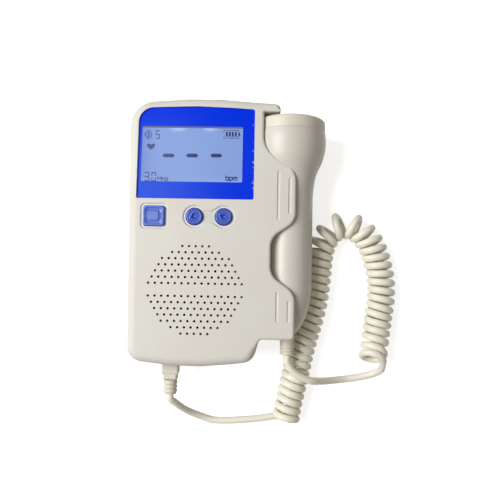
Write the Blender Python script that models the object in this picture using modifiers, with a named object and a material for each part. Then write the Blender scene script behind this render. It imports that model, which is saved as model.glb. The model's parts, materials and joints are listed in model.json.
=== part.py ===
# Fetal doppler: a hand unit with a docked probe on a curly cord, lying on its back.
# Metres, +Z up out of the display, +Y towards the display's end of the unit.
# The origin is the middle of the unit and docked probe, on the surface they lie on.
import math

import bmesh
import bpy
import numpy as np
from mathutils import Matrix, Vector

# Clearances
gap = 0.0003
running_gap = 0.0003
overrun = 0.002
longest_side = 0.009

# Main unit
body_length = 0.1344
body_thickness = 0.0345
side_taper = 0.0018
top_left_inset = 0.0007
crown = 0.0029
wall = 0.0022
front_wall = 0.0025
floor_wall = 0.0024
edge_round = 0.0045
cradle_edge_round = 0.0013

# Corner radii of the unit's outline
top_left_radius = 0.0125
bottom_left_radius = 0.0078
top_right_share = 0.683
shoulder_radius = 0.0006
waist_radius = 0.0115
notch_radius = 0.0088
clip_corner_radius = 0.0022
foot_corner_radius = 0.007
step_radius = 0.002

# Reach of the cradle's edge from the probe's axis, to the left where positive
shoulder_drop = 0.007
shoulder_setback = 0.0057
head_edge_setback = 0.0139
finger_notch_setback = 0.0096
clip_reach = 0.0026
rear_clip_inset = 0.0026
foot_right_setback = 0.0176
step_setback = 0.0146

# Shares of a bowed edge, of the probe's length for the head's room in the cradle, and of the
# height from the unit's foot to the upper clip's top for the corners below it
crown_blend_share = 0.66
head_edge_share = 0.1594
clip_top_share = 0.2425
clip_middle_share = 0.7313
notch_top_share = 0.6517
notch_bottom_share = 0.4617
lower_clip_share = 0.377
cradle_foot_share = 0.1443

# Probe
probe_axis_height = 0.0198
probe_top_inset = 0.0085
probe_length = 0.1101
head_radius = 0.0186
handle_radius = 0.0122
probe_wall = 0.0018
probe_clearance = 0.00045
cap_radius = 0.0182
cap_round = 0.0016
cap_collar_length = 0.0036
cap_collar_wall = 0.0014
window_radius = 0.0151
acoustic_window_thickness = 0.0016
crystal_radius = 0.0115
crystal_thickness = 0.0009
crystal_split = 0.0008
backing_thickness = 0.0052
probe_board_length = 0.046
probe_board_thickness = 0.0012
tip_share = 0.35
probe_relief_radius = 0.0037
probe_relief_end_radius = 0.0029
probe_relief_length = 0.0107
probe_relief_collar_radius = 0.005
probe_relief_collar_length = 0.002
probe_relief_groove_depth = 0.0006
probe_relief_groove_width = 0.0008

# Shape of the head, as (share of the probe's length, share of the head's swell)
head_shares = (
    (0.0584, 0.962),
    (0.0912, 1.0),
    (0.1232, 0.985),
    (0.1533, 0.894),
    (0.1825, 0.773),
    (0.2099, 0.576),
    (0.2372, 0.356),
    (0.2692, 0.182),
    (0.3102, 0.076),
    (0.365, 0.0),
)
# Shape of the handle's lower end, as (share of the probe's length, share of the handle's radius)
tip_shares = (
    (0.7847, 1.0),
    (0.8303, 0.965),
    (0.8759, 0.885),
    (0.9215, 0.765),
    (0.9580, 0.62),
    (0.9854, 0.455),
    (1.0, tip_share),
)

# Display
window_from_left = 0.006
window_above_keys = 0.00879
window_top_inset = 0.0062
window_to_cradle = 0.0046
window_crown = 0.0013
window_corner = 0.0008
window_left_top_corner = 0.0075
window_depth = 0.0015
window_thickness = 0.0008
mask_thickness = 0.0003
view_from_left = 0.0076
view_width = 0.0502
view_right_margin = 0.0059
view_bottom_margin = 0.00856
view_top_margin = 0.00854
view_margin = 0.0006
lcd_border = 0.0028
lcd_thickness = 0.0028
backlight_thickness = 0.003
board_thickness = 0.0016
board_left_inset = 0.0038
board_past_view = 0.001
board_below_keys = 0.0087
board_boss_clearance = 0.00036
board_post_radius = 0.0018
board_post_below_view = 0.00706

# Keys
keys_above_speaker = 0.01125
power_from_left = 0.0144
volume_up_from_left = 0.0345
volume_down_from_left = 0.049
power_width = 0.0107
power_height = 0.01
power_corner = 0.0012
round_key_radius = 0.00425
key_proud = 0.001
key_depth = 0.0016
key_stem_radius = 0.0016
key_flange = 0.0009
key_flange_thickness = 0.0008
key_step = 0.0003
key_rim_share = 0.16
triangle_radius = 0.0021
triangle_depth = 0.0004
power_recess_margin = 0.0013
recess_depth = 0.0006
power_recess_corner = 0.0022
round_recess_radius = 0.0056
recess_waist = 0.0058
switch_side = 0.006
switch_height = 0.0031
switch_pad_radius = 0.0017
switch_pad_height = 0.0006
switch_clearance = 0.0009

# Speaker and its grille
speaker_from_left = 0.03555
speaker_from_foot = 0.01316
speaker_radius = 0.025
speaker_cone_radius = 0.0208
speaker_ring_height = 0.002
speaker_ring_wall = 0.0012
speaker_flange_thickness = 0.0008
speaker_depth = 0.0092
speaker_sheet = 0.0008
magnet_radius = 0.0115
magnet_height = 0.0033
grille_pitch = 0.0033
grille_row_pitch = 0.00306
grille_middle = 0.0063
grille_hole = 0.0012
grille_rows = (5, 8, 11, 12, 13, 14, 15)

# Grip lines on the clips, as (setback from the axis, bottom share, top share of the cradle's height)
grip_line_width = 0.0011
grip_line_depth = 0.0005
grip_lines = (
    (0.0062, 0.7423, 0.9829),
    (0.0006, 0.7724, 0.9501),
    (0.0062, 0.2325, 0.38),
    (0.0006, 0.2325, 0.3378),
)

# Screws
screw_radius = 0.0013
screw_head_radius = 0.0025
screw_head_height = 0.0018
screw_length = 0.023
screw_slot_width = 0.0007
screw_slot_depth = 0.0008
screw_sink = 0.0022
boss_radius = 0.0032
boss_relief = 0.0001
screw_inset = 0.0078

# Battery bay
battery_radius = 0.0071
battery_length = 0.0505
battery_terminal_radius = 0.0026
battery_terminal_height = 0.001
bay_to_axis = 0.0403
bay_to_jack = 0.0006
bay_wall = 0.0012
bay_spring_room = 0.0058
contact_thickness = 0.0004
spring_wire = 0.0008
spring_turns = 3
spring_radius = 0.0036
spring_taper_share = 0.6
door_thickness = 0.0018
door_recess = 0.0003
door_tongue_half_width = 0.003
door_tongue_reach = 0.001
door_tongue_root = 0.003
door_tongue_thickness = 0.001
door_grip_count = 4
door_grip_from_foot = 0.0084
door_grip_width = 0.0008
door_grip_pitch = 0.0022
door_grip_depth = 0.0005
door_grip_span_share = 0.5
door_edge_inset = 0.0012
bridge_thickness = 0.0016

# Socket, jack and plug at the unit's foot
plug_from_left = 0.0217
socket_width = 0.0094
socket_height = 0.0072
socket_depth = 0.0096
socket_wall = 0.0011
socket_face_inset = 0.0012
nose_width = 0.0068
nose_height = 0.0044
nose_length = 0.007
plug_width = 0.0089
plug_height = 0.0061
plug_length = 0.0061
plug_round = 0.0009
plug_neck_width = 0.0077
plug_neck_height = 0.0054
plug_neck_length = 0.0028
plug_relief_radius = 0.0036
plug_relief_end_radius = 0.0029
plug_relief_length = 0.0072
plug_rib_count = 3
plug_rib_depth = 0.0007
jack_from_left = 0.0335
jack_width = 0.0062
jack_length = 0.0079
jack_nose_radius = 0.0028
jack_bore_radius = 0.0018
socket_board_thickness = 0.0013
socket_board_margin = 0.0006
socket_post_radius = 0.0018

# Cord
cord_diameter = 0.0038
coil_diameter = 0.0152
coil_strand_spacing = 0.00402
points_per_curl = 8
rest_gap = 0.0001
coil_ease = 0.005
ease_step = 0.0005
bend_margin_share = 1.08
route_step = 0.0055
stretch_lead_share = 0.7
cord_sides_resolution = 2
curl_sides_resolution = 1
start_phase = math.radians(90)
end_phase = math.radians(195)

# Centre of the coil as it lies: across, along, rise off its rest height
coil_route = (
    (0.0324, -0.0990, 0.0),
    (0.0333, -0.0920, 0.0),
    (0.0356, -0.0820, 0.0),
    (0.0378, -0.0720, 0.0),
    (0.0399, -0.0620, 0.0),
    (0.0426, -0.0520, 0.0),
    (0.0452, -0.0430, 0.0),
    (0.0471, -0.0340, 0.0),
    (0.0483, -0.0240, 0.0),
    (0.0491, -0.0140, 0.0),
    (0.0507, -0.0050, 0.0),
    (0.0548, 0.0025, 0.0),
    (0.0614, 0.0063, 0.0),
    (0.0686, 0.0053, 0.0),
    (0.0745, 0.0003, 0.0),
    (0.0786, -0.0070, 0.0),
    (0.0815, -0.0160, 0.0),
    (0.0829, -0.0250, 0.0),
    (0.0828, -0.0340, 0.0),
    (0.0815, -0.0430, 0.0),
    (0.0804, -0.0520, 0.0),
    (0.0792, -0.0596, 0.0012),
    (0.0774, -0.0655, 0.0050),
)

# Free stretches of the cord: across, along, up
plug_stretch_route = (
    (-0.0266, -0.0889, 0.0154),
    (-0.0243, -0.0918, 0.0122),
    (-0.0214, -0.0947, 0.0086),
    (-0.0176, -0.0975, 0.0054),
    (-0.0129, -0.0999, 0.0031),
    (-0.0075, -0.1017, 0.0022),
    (0.0000, -0.1019, 0.0020),
    (0.0080, -0.1014, 0.0020),
    (0.0160, -0.1006, 0.0020),
    (0.0208, -0.0999, 0.0020),
)
probe_stretch_route = (
    (0.0321, -0.0664, 0.0195),
    (0.0340, -0.0697, 0.0190),
    (0.0370, -0.0725, 0.0184),
    (0.0408, -0.0747, 0.0175),
    (0.0450, -0.0763, 0.0160),
    (0.0495, -0.0772, 0.0125),
    (0.0545, -0.0778, 0.0084),
    (0.0600, -0.0780, 0.0048),
    (0.0655, -0.0778, 0.0026),
    (0.0708, -0.0769, 0.0028),
    (0.0753, -0.0757, 0.0037),
    (0.0789, -0.0745, 0.0047),
    (0.0816, -0.0728, 0.0064),
)

# Places worked out from the sizes
half_length = body_length / 2
window_width = view_from_left + view_width + view_right_margin - window_from_left
axis_from_left = window_from_left + window_width + window_to_cradle + head_edge_setback
bay_from_left = axis_from_left - bay_to_axis
board_right_inset = view_from_left + view_width + board_past_view
left_x = -(axis_from_left + head_radius) / 2
axis_x = left_x + axis_from_left
split_z = body_thickness / 2
half_gap = gap / 2
ceiling_z = body_thickness - front_wall
probe_top = half_length - probe_top_inset
shoulder_y = half_length - shoulder_drop
head_edge_y = probe_top - head_edge_share * probe_length
clip_top_y = probe_top - clip_top_share * probe_length
top_right_radius = top_right_share * (shoulder_drop - crown)
speaker_x = left_x + speaker_from_left
speaker_y = -half_length + speaker_from_foot + speaker_radius
key_y = speaker_y + speaker_radius + keys_above_speaker
window_bottom = key_y + window_above_keys
window_height = half_length - window_top_inset - window_bottom
view_bottom = window_bottom + view_bottom_margin
view_height = window_bottom + window_height - view_top_margin - view_bottom
plug_x = left_x + plug_from_left
jack_x = left_x + jack_from_left
foot_y = -half_length + crown
bay_x = left_x + bay_from_left
helix_radius = (coil_diameter - cord_diameter) / 2
coil_height = coil_diameter / 2 + rest_gap

for old in list(bpy.data.objects):
    bpy.data.objects.remove(old, do_unlink=True)

assembly = bpy.data.collections.new("fetal_doppler")
cutters = bpy.data.collections.new("cutters")
bpy.context.scene.collection.children.link(assembly)
bpy.context.scene.collection.children.link(cutters)


# Materials
def linear(channel):
    """Turns one sRGB channel, 0 to 255, into the linear value that a shader takes."""
    share = channel / 255
    return share / 12.92 if share <= 0.04045 else ((share + 0.055) / 1.055) ** 2.4


def material(name, colour, roughness, metallic=0.0, see_through=0.0):
    made = bpy.data.materials.new(name)
    made.use_nodes = True
    shader = made.node_tree.nodes["Principled BSDF"]
    shader.inputs["Base Color"].default_value = (*map(linear, colour), 1)
    shader.inputs["Roughness"].default_value = roughness
    shader.inputs["Metallic"].default_value = metallic
    shader.inputs["Transmission Weight"].default_value = see_through
    made.diffuse_color = (*map(linear, colour), 1)
    return made


# Meshes and objects
def add_object(name, mesh, collection=None):
    made = bpy.data.objects.new(name, mesh)
    (collection or assembly).objects.link(made)
    return made


def mesh_object(name, shape, collection=None):
    """Puts a bmesh into a new object, with faces pointing out and round sides smooth."""
    bmesh.ops.recalc_face_normals(shape, faces=shape.faces)
    mesh = bpy.data.meshes.new(name)
    shape.to_mesh(mesh)
    shape.free()
    mesh.shade_smooth()
    mesh.set_sharp_from_angle(angle=math.radians(32))
    return add_object(name, mesh, collection)


def finish(made, finish_material):
    made.data.materials.append(finish_material)
    return made


def as_cutter(made):
    for owner in list(made.users_collection):
        owner.objects.unlink(made)
    cutters.objects.link(made)
    made.hide_render = True
    made.display_type = "WIRE"
    return made


def boolean(target, other, operation):
    cut_modifier = target.modifiers.new(other.name, "BOOLEAN")
    cut_modifier.operation = operation
    cut_modifier.solver = "EXACT"
    cut_modifier.object = as_cutter(other)


def cut(target, *others):
    for other in others:
        boolean(target, other, "DIFFERENCE")


def join(target, *others):
    for other in others:
        boolean(target, other, "UNION")


def box(name, low, high, round_by=0.0):
    """A box between two corners, with its edges rounded by a Bevel where asked."""
    size = Vector(high) - Vector(low)
    middle = (Vector(high) + Vector(low)) / 2
    shape = bmesh.new()
    bmesh.ops.create_cube(shape, size=1)
    bmesh.ops.scale(shape, vec=size, verts=shape.verts)
    made = mesh_object(name, shape)
    made.location = middle
    if round_by:
        bevel = made.modifiers.new("round", "BEVEL")
        bevel.width = round_by
        bevel.segments = 2
    return made


def cylinder(name, centre, radius, low, high, sides=16):
    """An upright cylinder between two heights."""
    shape = bmesh.new()
    bmesh.ops.create_cone(
        shape, cap_ends=True, segments=sides, radius1=radius, radius2=radius, depth=high - low
    )
    made = mesh_object(name, shape)
    made.location = (centre[0], centre[1], (low + high) / 2)
    return made


def flat_polygon(name, points, low, high):
    """A flat outline raised between two heights."""
    shape = bmesh.new()
    floor = shape.faces.new([shape.verts.new((x, y, low)) for x, y in points])
    raised = bmesh.ops.extrude_face_region(shape, geom=[floor])
    lifted = [item for item in raised["geom"] if isinstance(item, bmesh.types.BMVert)]
    bmesh.ops.translate(shape, verts=lifted, vec=(0, 0, high - low))
    return mesh_object(name, shape)


def turned(name, profile, steps=20, sweep=math.tau):
    """Turns a profile of (radius, height) points round the object's Z."""
    shape = bmesh.new()
    corners = [shape.verts.new((radius, 0, height)) for radius, height in profile]
    for first, second in zip(corners, corners[1:]):
        shape.edges.new((first, second))
    mesh = bpy.data.meshes.new(name)
    shape.to_mesh(mesh)
    shape.free()
    made = add_object(name, mesh)
    screw = made.modifiers.new("turn", "SCREW")
    screw.angle = sweep
    screw.steps = steps
    screw.render_steps = steps
    screw.use_merge_vertices = True
    screw.merge_threshold = 0.00001
    return made


def along_probe(made, parent):
    """Lays a turned piece's Z along the unit's +Y, on the probe's axis."""
    made.parent = parent
    return made


# Outlines: polygons with a radius at each corner
def rounded(corners, arc_step=math.radians(18)):
    """Points round a filleted polygon, each with its inward normal and edge round.

    A corner is (x, y, radius, edge round). Going round with the inside on the left, each
    corner becomes an arc whose ends touch both sides.
    """
    found = []
    count = len(corners)
    for index, (x, y, radius, edge) in enumerate(corners):
        here = Vector((x, y))
        into = (here - Vector(corners[index - 1][:2])).normalized()
        out = (Vector(corners[(index + 1) % count][:2]) - here).normalized()
        turn = math.atan2(into.x * out.y - into.y * out.x, into.dot(out))
        side = 1 if turn > 0 else -1
        start = here - into * radius * math.tan(abs(turn) / 2)
        inward = Vector((-into.y, into.x))
        centre = start + inward * radius * side
        steps = max(2, math.ceil(abs(turn) / arc_step), math.ceil(abs(turn) * radius / longest_side))
        for step in range(steps + 1):
            spoke = Matrix.Rotation(turn * step / steps, 2) @ inward
            found.append((centre - spoke * radius * side, spoke, edge))
    return found


def inset_ring(outline, share_in, share_up, face_z, direction):
    """One ring of an edge round: each point moves in and along Z by shares of its own round."""
    return [
        (*(point + inward * edge * share_in), face_z - direction * edge * share_up)
        for point, inward, edge in outline
    ]


def loft(name, rings):
    """Joins rings of equal count into a closed body, with a flat face on the first and last."""
    shape = bmesh.new()
    rows = [[shape.verts.new(point) for point in ring] for ring in rings]
    for lower, upper in zip(rows, rows[1:]):
        for index, corner in enumerate(lower):
            following = (index + 1) % len(lower)
            shape.faces.new((corner, lower[following], upper[following], upper[index]))
    shape.faces.new(reversed(rows[0]))
    shape.faces.new(rows[-1])
    return mesh_object(name, shape)


def half_casing(name, outline, joint_z, face_z, steps=3):
    """A solid half of the unit, from the joint plane to a face with rounded edges."""
    direction = 1 if face_z > joint_z else -1
    rings = [[(*point, joint_z) for point, inward, edge in outline]]
    for step in range(steps + 1):
        angle = math.pi / 2 * step / steps
        rings.append(
            inset_ring(outline, 1 - math.cos(angle), 1 - math.sin(angle), face_z, direction)
        )
    return loft(name, rings)


def crown_corner(left, right, outer, radius_share=crown_blend_share):
    """The middle corner of a bowed edge, whose arc just reaches `outer`."""
    span = (right - left) / 2
    direction = 1 if outer > 0 else -1
    rise = crown / (1 - radius_share / 2)
    radius = radius_share * span / math.sin(math.atan(rise / span))
    return ((left + right) / 2, outer + direction * (rise - crown), radius, edge_round)


def cradle_y(share):
    """A height on the cradle below its upper clip's top, as a share up from the unit's foot."""
    return -half_length + share * (clip_top_y + half_length)


def unit_outline(clip_inset=0.0):
    """The unit's outline seen from the front, from its lower left corner round to the left."""
    top = half_length - crown
    clip_x = axis_x + clip_reach - clip_inset
    notch_x = axis_x - finger_notch_setback
    head_x = axis_x - head_edge_setback
    shoulder_x = axis_x - shoulder_setback
    foot_x = axis_x - foot_right_setback
    left_foot = left_x + side_taper
    small = cradle_edge_round
    return [
        (left_foot, foot_y, bottom_left_radius, edge_round),
        crown_corner(left_foot, foot_x, -half_length),
        (foot_x, foot_y, foot_corner_radius, edge_round * 0.9),
        (axis_x - step_setback, cradle_y(cradle_foot_share), step_radius, small),
        (clip_x, cradle_y(cradle_foot_share), clip_corner_radius, small),
        (clip_x, cradle_y(lower_clip_share), notch_radius, small),
        (notch_x, cradle_y(notch_bottom_share), notch_radius, small),
        (notch_x, cradle_y(notch_top_share), notch_radius, small),
        (clip_x, cradle_y(clip_middle_share), notch_radius, small),
        (clip_x, clip_top_y, waist_radius, small),
        (head_x, head_edge_y, waist_radius, small),
        (head_x, shoulder_y, shoulder_radius, small),
        (shoulder_x, shoulder_y, shoulder_radius, shoulder_radius * 0.8),
        (shoulder_x, top, top_right_radius, top_right_radius * 0.85),
        crown_corner(left_x + top_left_inset, shoulder_x, half_length),
        (left_x + top_left_inset, top, top_left_radius, edge_round),
    ]


def cavity_outline():
    """The hollow inside the unit: the outline less the wall, and clear of the probe's channel."""
    head_wall_x = axis_x - head_radius - probe_clearance - wall
    handle_wall_x = axis_x - handle_radius - probe_clearance - wall
    lower_x = axis_x - step_setback - wall
    top = half_length - crown - wall
    left_foot = left_x + side_taper + wall
    step_y = cradle_y(cradle_foot_share)
    return [
        (left_foot, foot_y + wall, bottom_left_radius - wall, 0),
        (axis_x - foot_right_setback - wall, foot_y + wall, foot_corner_radius - wall, 0),
        (lower_x, step_y, step_radius, 0),
        (handle_wall_x, step_y + wall * 2, step_radius, 0),
        (handle_wall_x, probe_y(head_shares[-2][0]), notch_radius, 0),
        (head_wall_x, probe_y(head_shares[3][0]), notch_radius, 0),
        (head_wall_x, top, top_right_radius - wall, 0),
        (left_x + top_left_inset + wall, top, top_left_radius - wall, 0),
    ]


def plan_points(corners):
    return [tuple(point) for point, inward, edge in rounded(corners, math.radians(30))]


def rectangle(left, bottom, right, top, radius):
    return plan_points(
        [
            (left, bottom, radius, 0),
            (right, bottom, radius, 0),
            (right, top, radius, 0),
            (left, top, radius, 0),
        ]
    )


# Probe profile
def probe_y(share):
    """A place along the probe, from its face, as the unit's Y."""
    return probe_top - share * probe_length


def probe_profile(offset=0.0):
    """(radius, Y) points down the probe's side, from the cap's seam to the tip."""
    swell = head_radius - handle_radius
    head = [(handle_radius + swell * share, probe_y(along)) for along, share in head_shares]
    tip = [(handle_radius * share, probe_y(along)) for along, share in tip_shares]
    return [(radius + offset, y) for radius, y in head + tip]


# Colours
casing_grey = material("casing_plastic", (221, 217, 210), 0.42)
cream = material("cream_plastic", (232, 225, 206), 0.4)
cord_cream = material("cord_jacket", (229, 221, 204), 0.45)
window_blue = material("window_print", (10, 70, 228), 0.3)
clear = material("clear_plate", (255, 255, 255), 0.05, see_through=1.0)
key_blue = material("key_rubber", (58, 96, 208), 0.55)
lcd_pale = material("lcd_glass", (160, 178, 226), 0.2)
light_white = material("light_guide", (238, 240, 244), 0.5)
board_green = material("board_laminate", (40, 96, 62), 0.5)
black_plastic = material("black_plastic", (36, 36, 38), 0.5)
cone_paper = material("cone_paper", (44, 42, 40), 0.8)
steel = material("steel", (178, 180, 184), 0.3, metallic=1.0)
battery_shell = material("battery_sleeve", (84, 92, 104), 0.35)
ceramic = material("crystal_ceramic", (196, 190, 172), 0.6)
absorber = material("backing_absorber", (58, 54, 52), 0.8)
window_cream = material("acoustic_plastic", (214, 206, 188), 0.35)

# Shared places
bay_half_width = 2 * battery_radius + gap * 2.5
socket_bottom = split_z - socket_height / 2
socket_face_y = -half_length + socket_face_inset
socket_back_y = socket_face_y + socket_depth
jack_face_y = socket_face_y + wall
jack_back_y = jack_face_y + jack_length
bay_bottom = jack_back_y + bay_wall + bay_to_jack
bay_top = bay_bottom + contact_thickness + bay_spring_room + battery_terminal_height + battery_length
bay_floor = floor_wall + gap
battery_z = door_recess + door_thickness + gap + battery_radius
bay_ceiling = battery_z + battery_radius + gap
door_half_width = bay_half_width - gap
door_foot = foot_y + door_edge_inset
top_screw_y = half_length - screw_inset
screw_places = (
    (left_x + screw_inset, top_screw_y),
    (axis_x - head_radius - probe_clearance - wall - boss_radius * 1.2, top_screw_y + boss_radius * 0.3),
    (left_x + screw_inset * 0.9 + side_taper * 0.3, foot_y + screw_inset * 0.9),
    (axis_x - foot_right_setback - boss_radius * 0.9, foot_y + screw_inset * 0.8),
)
view_left = left_x + view_from_left
window_left = left_x + window_from_left
window_floor = body_thickness - window_depth
lcd_top = ceiling_z - gap
lcd_bottom = lcd_top - lcd_thickness
backlight_bottom = lcd_bottom - gap - backlight_thickness
board_top = backlight_bottom - gap
board_bottom = board_top - board_thickness
speaker_top = ceiling_z - gap
speaker_bottom = speaker_top - speaker_depth
post_y = view_bottom - board_post_below_view
post_xs = (
    left_x + board_left_inset + board_post_radius * 1.5,
    speaker_x,
    left_x + board_right_inset - board_post_radius * 1.5,
)


def window_outline(shrink):
    """The window's outline: square corners but for a large one at the upper left, and a bowed top."""
    left = window_left + shrink
    right = window_left + window_width - shrink
    bottom = window_bottom + shrink
    top = window_bottom + window_height - shrink
    rise = window_crown / (1 - crown_blend_share / 2)
    span = (right - left) / 2
    radius = crown_blend_share * span / math.sin(math.atan(rise / span))
    return plan_points(
        [
            (left, bottom, window_corner, 0),
            (right, bottom, window_corner, 0),
            (right, top, window_corner, 0),
            ((left + right) / 2, top + rise, radius, 0),
            (left, top, window_left_top_corner - shrink, 0),
        ]
    )


# Channel that the probe lies in
def channel_cutter(name):
    """The probe's shape with its clearance, half round towards the unit and open to the right."""
    sides = probe_profile(probe_clearance)
    above = shoulder_y - gap
    below = min(cradle_y(cradle_foot_share), probe_y(tip_shares[-1][0])) - overrun * 2
    sides = [(sides[0][0], above), *sides, (sides[-1][0], below)]
    right = axis_x + head_radius * 2
    arc_steps = 12
    rings = []
    for radius, y in sides:
        ring = [(right, y, probe_axis_height - radius), (right, y, probe_axis_height + radius)]
        for step in range(arc_steps + 1):
            angle = math.pi / 2 + math.pi * step / arc_steps
            ring.append(
                (axis_x + radius * math.cos(angle), y, probe_axis_height + radius * math.sin(angle))
            )
        rings.append(ring)
    return loft(name, rings)


# Screw bosses
def bosses(name, low, high):
    return [
        cylinder(f"{name}_boss_{index}", place, boss_radius, low, high, sides=12)
        for index, place in enumerate(screw_places)
    ]


def screw_holes(name, low, high, radius):
    return [
        cylinder(f"{name}_hole_{index}", place, radius, low, high, sides=10)
        for index, place in enumerate(screw_places)
    ]


def foot_openings(name):
    """Ways through the foot's wall for the socket and for the jack's nose."""
    socket_way = box(
        name + "_socket_way",
        (plug_x - socket_width / 2 - gap, -half_length - overrun, socket_bottom - gap),
        (plug_x + socket_width / 2 + gap, socket_back_y + gap, socket_bottom + socket_height + gap),
    )
    jack_way = turned(
        name + "_jack_way",
        [
            (0, jack_face_y + overrun),
            (jack_nose_radius + gap, jack_face_y + overrun),
            (jack_nose_radius + gap, -half_length - overrun),
            (0, -half_length - overrun),
        ],
        steps=16,
    )
    jack_way.location = (jack_x, 0, split_z)
    jack_way.rotation_euler = (-math.pi / 2, 0, 0)
    return socket_way, jack_way


# Front half of the casing
def front_shell():
    made = half_casing("front_shell", rounded(unit_outline()), split_z + half_gap, body_thickness)
    finish(made, casing_grey)
    cut(made, flat_polygon("front_hollow", plan_points(cavity_outline()), split_z - overrun, ceiling_z))
    boss_low = split_z + half_gap + boss_relief
    join(made, *bosses("front", boss_low, ceiling_z + front_wall / 2))
    ring = turned(
        "speaker_ring",
        [
            (speaker_radius + gap, ceiling_z + front_wall / 2),
            (speaker_radius + gap + speaker_ring_wall, ceiling_z + front_wall / 2),
            (speaker_radius + gap + speaker_ring_wall, ceiling_z - speaker_ring_height),
            (speaker_radius + gap, ceiling_z - speaker_ring_height),
            (speaker_radius + gap, ceiling_z + front_wall / 2),
        ],
        steps=28,
    )
    ring.location = (speaker_x, speaker_y, 0)
    join(made, ring)
    for index, x in enumerate(post_xs):
        post = cylinder(
            f"board_post_{index}", (x, post_y), board_post_radius, board_top + gap,
            ceiling_z + front_wall / 2, sides=8,
        )
        join(made, post)
    cut(made, channel_cutter("front_channel"))
    cut(made, flat_polygon("window_recess", window_outline(0), window_floor, body_thickness + overrun))
    view = rectangle(
        view_left - view_margin, view_bottom - view_margin, view_left + view_width + view_margin,
        view_bottom + view_height + view_margin, window_corner,
    )
    cut(made, flat_polygon("view_opening", view, ceiling_z - overrun, body_thickness))
    cut(made, *key_cutters())
    cut(made, grille_cutter())
    cut(made, *grip_line_cutters())
    cut(made, *foot_openings("front"))
    screw_top = screw_sink + screw_length + gap
    cut(made, *screw_holes("front_screw", split_z - overrun, screw_top, screw_radius + gap))
    return made


def power_shape(margin, corner):
    half_width = power_width / 2 + margin
    half_height = power_height / 2 + margin
    middle = left_x + power_from_left
    return rectangle(
        middle - half_width, key_y - half_height, middle + half_width, key_y + half_height, corner
    )


def circle_points(centre_x, centre_y, radius, steps, start=0.0):
    return [
        (
            centre_x + radius * math.cos(start + math.tau * step / steps),
            centre_y + radius * math.sin(start + math.tau * step / steps),
        )
        for step in range(steps)
    ]


def waisted_recess():
    """Two circles joined by arcs that draw in between them, for the pair of round keys."""
    left = left_x + volume_up_from_left
    right = left_x + volume_down_from_left
    middle = (left + right) / 2
    half_span = (right - left) / 2
    waist = recess_waist / 2
    bend = (half_span**2 + waist**2 - round_recess_radius**2) / (2 * (round_recess_radius - waist))
    lean = math.asin(half_span / (round_recess_radius + bend))
    steps = 5
    upper_bend = [-math.pi / 2 + lean * (1 - 2 * step / steps) for step in range(steps + 1)]
    points = []
    round_steps = 18
    start = -math.pi / 2 - lean
    for step in range(round_steps + 1):
        angle = start + (math.pi + 2 * lean) * step / round_steps
        points.append(
            (right + round_recess_radius * math.cos(angle + 0), key_y + round_recess_radius * math.sin(angle))
        )
    for angle in upper_bend[1:-1]:
        points.append((middle + bend * math.cos(angle), key_y + waist + bend + bend * math.sin(angle)))
    for step in range(round_steps + 1):
        angle = start + math.pi + (math.pi + 2 * lean) * step / round_steps
        points.append((left + round_recess_radius * math.cos(angle), key_y + round_recess_radius * math.sin(angle)))
    for angle in upper_bend[1:-1]:
        points.append((middle - bend * math.cos(angle), key_y - waist - bend - bend * math.sin(angle)))
    return points


def key_cutters():
    """Shallow recesses round the keys, and the ways through for the keys themselves."""
    face = body_thickness + overrun
    recess_floor = body_thickness - recess_depth
    below = ceiling_z - overrun
    return [
        flat_polygon("power_recess", power_shape(power_recess_margin, power_recess_corner), recess_floor, face),
        flat_polygon("power_way", power_shape(running_gap, power_corner + running_gap), below, face),
        flat_polygon("volume_recess", waisted_recess(), recess_floor, face),
        cylinder("up_way", (left_x + volume_up_from_left, key_y), round_key_radius + running_gap, below, face, 24),
        cylinder("down_way", (left_x + volume_down_from_left, key_y), round_key_radius + running_gap, below, face, 24),
    ]


def grille_cutter():
    """All the grille's holes as one mesh of six-sided pegs, in rows set off by half a pitch."""
    shape = bmesh.new()
    low, high = ceiling_z - overrun, body_thickness + overrun
    for direction in (1, -1):
        for row, count in enumerate(grille_rows):
            rows_out = len(grille_rows) - 1 - row
            y = speaker_y + direction * (grille_middle / 2 + rows_out * grille_row_pitch)
            for place in range(count):
                x = speaker_x + (place - (count - 1) / 2) * grille_pitch
                ring = circle_points(x, y, grille_hole / 2, 6)
                floor = shape.faces.new([shape.verts.new((*point, low)) for point in ring])
                raised = bmesh.ops.extrude_face_region(shape, geom=[floor])
                lifted = [item for item in raised["geom"] if isinstance(item, bmesh.types.BMVert)]
                bmesh.ops.translate(shape, verts=lifted, vec=(0, 0, high - low))
    return mesh_object("grille_pegs", shape)


def grip_line_cutters():
    made = []
    for index, (setback, low_share, high_share) in enumerate(grip_lines):
        x = axis_x - setback
        made.append(
            box(
                f"grip_line_{index}",
                (x - grip_line_width / 2, cradle_y(low_share), body_thickness - grip_line_depth),
                (x + grip_line_width / 2, cradle_y(high_share), body_thickness + overrun),
            )
        )
    return made


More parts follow.
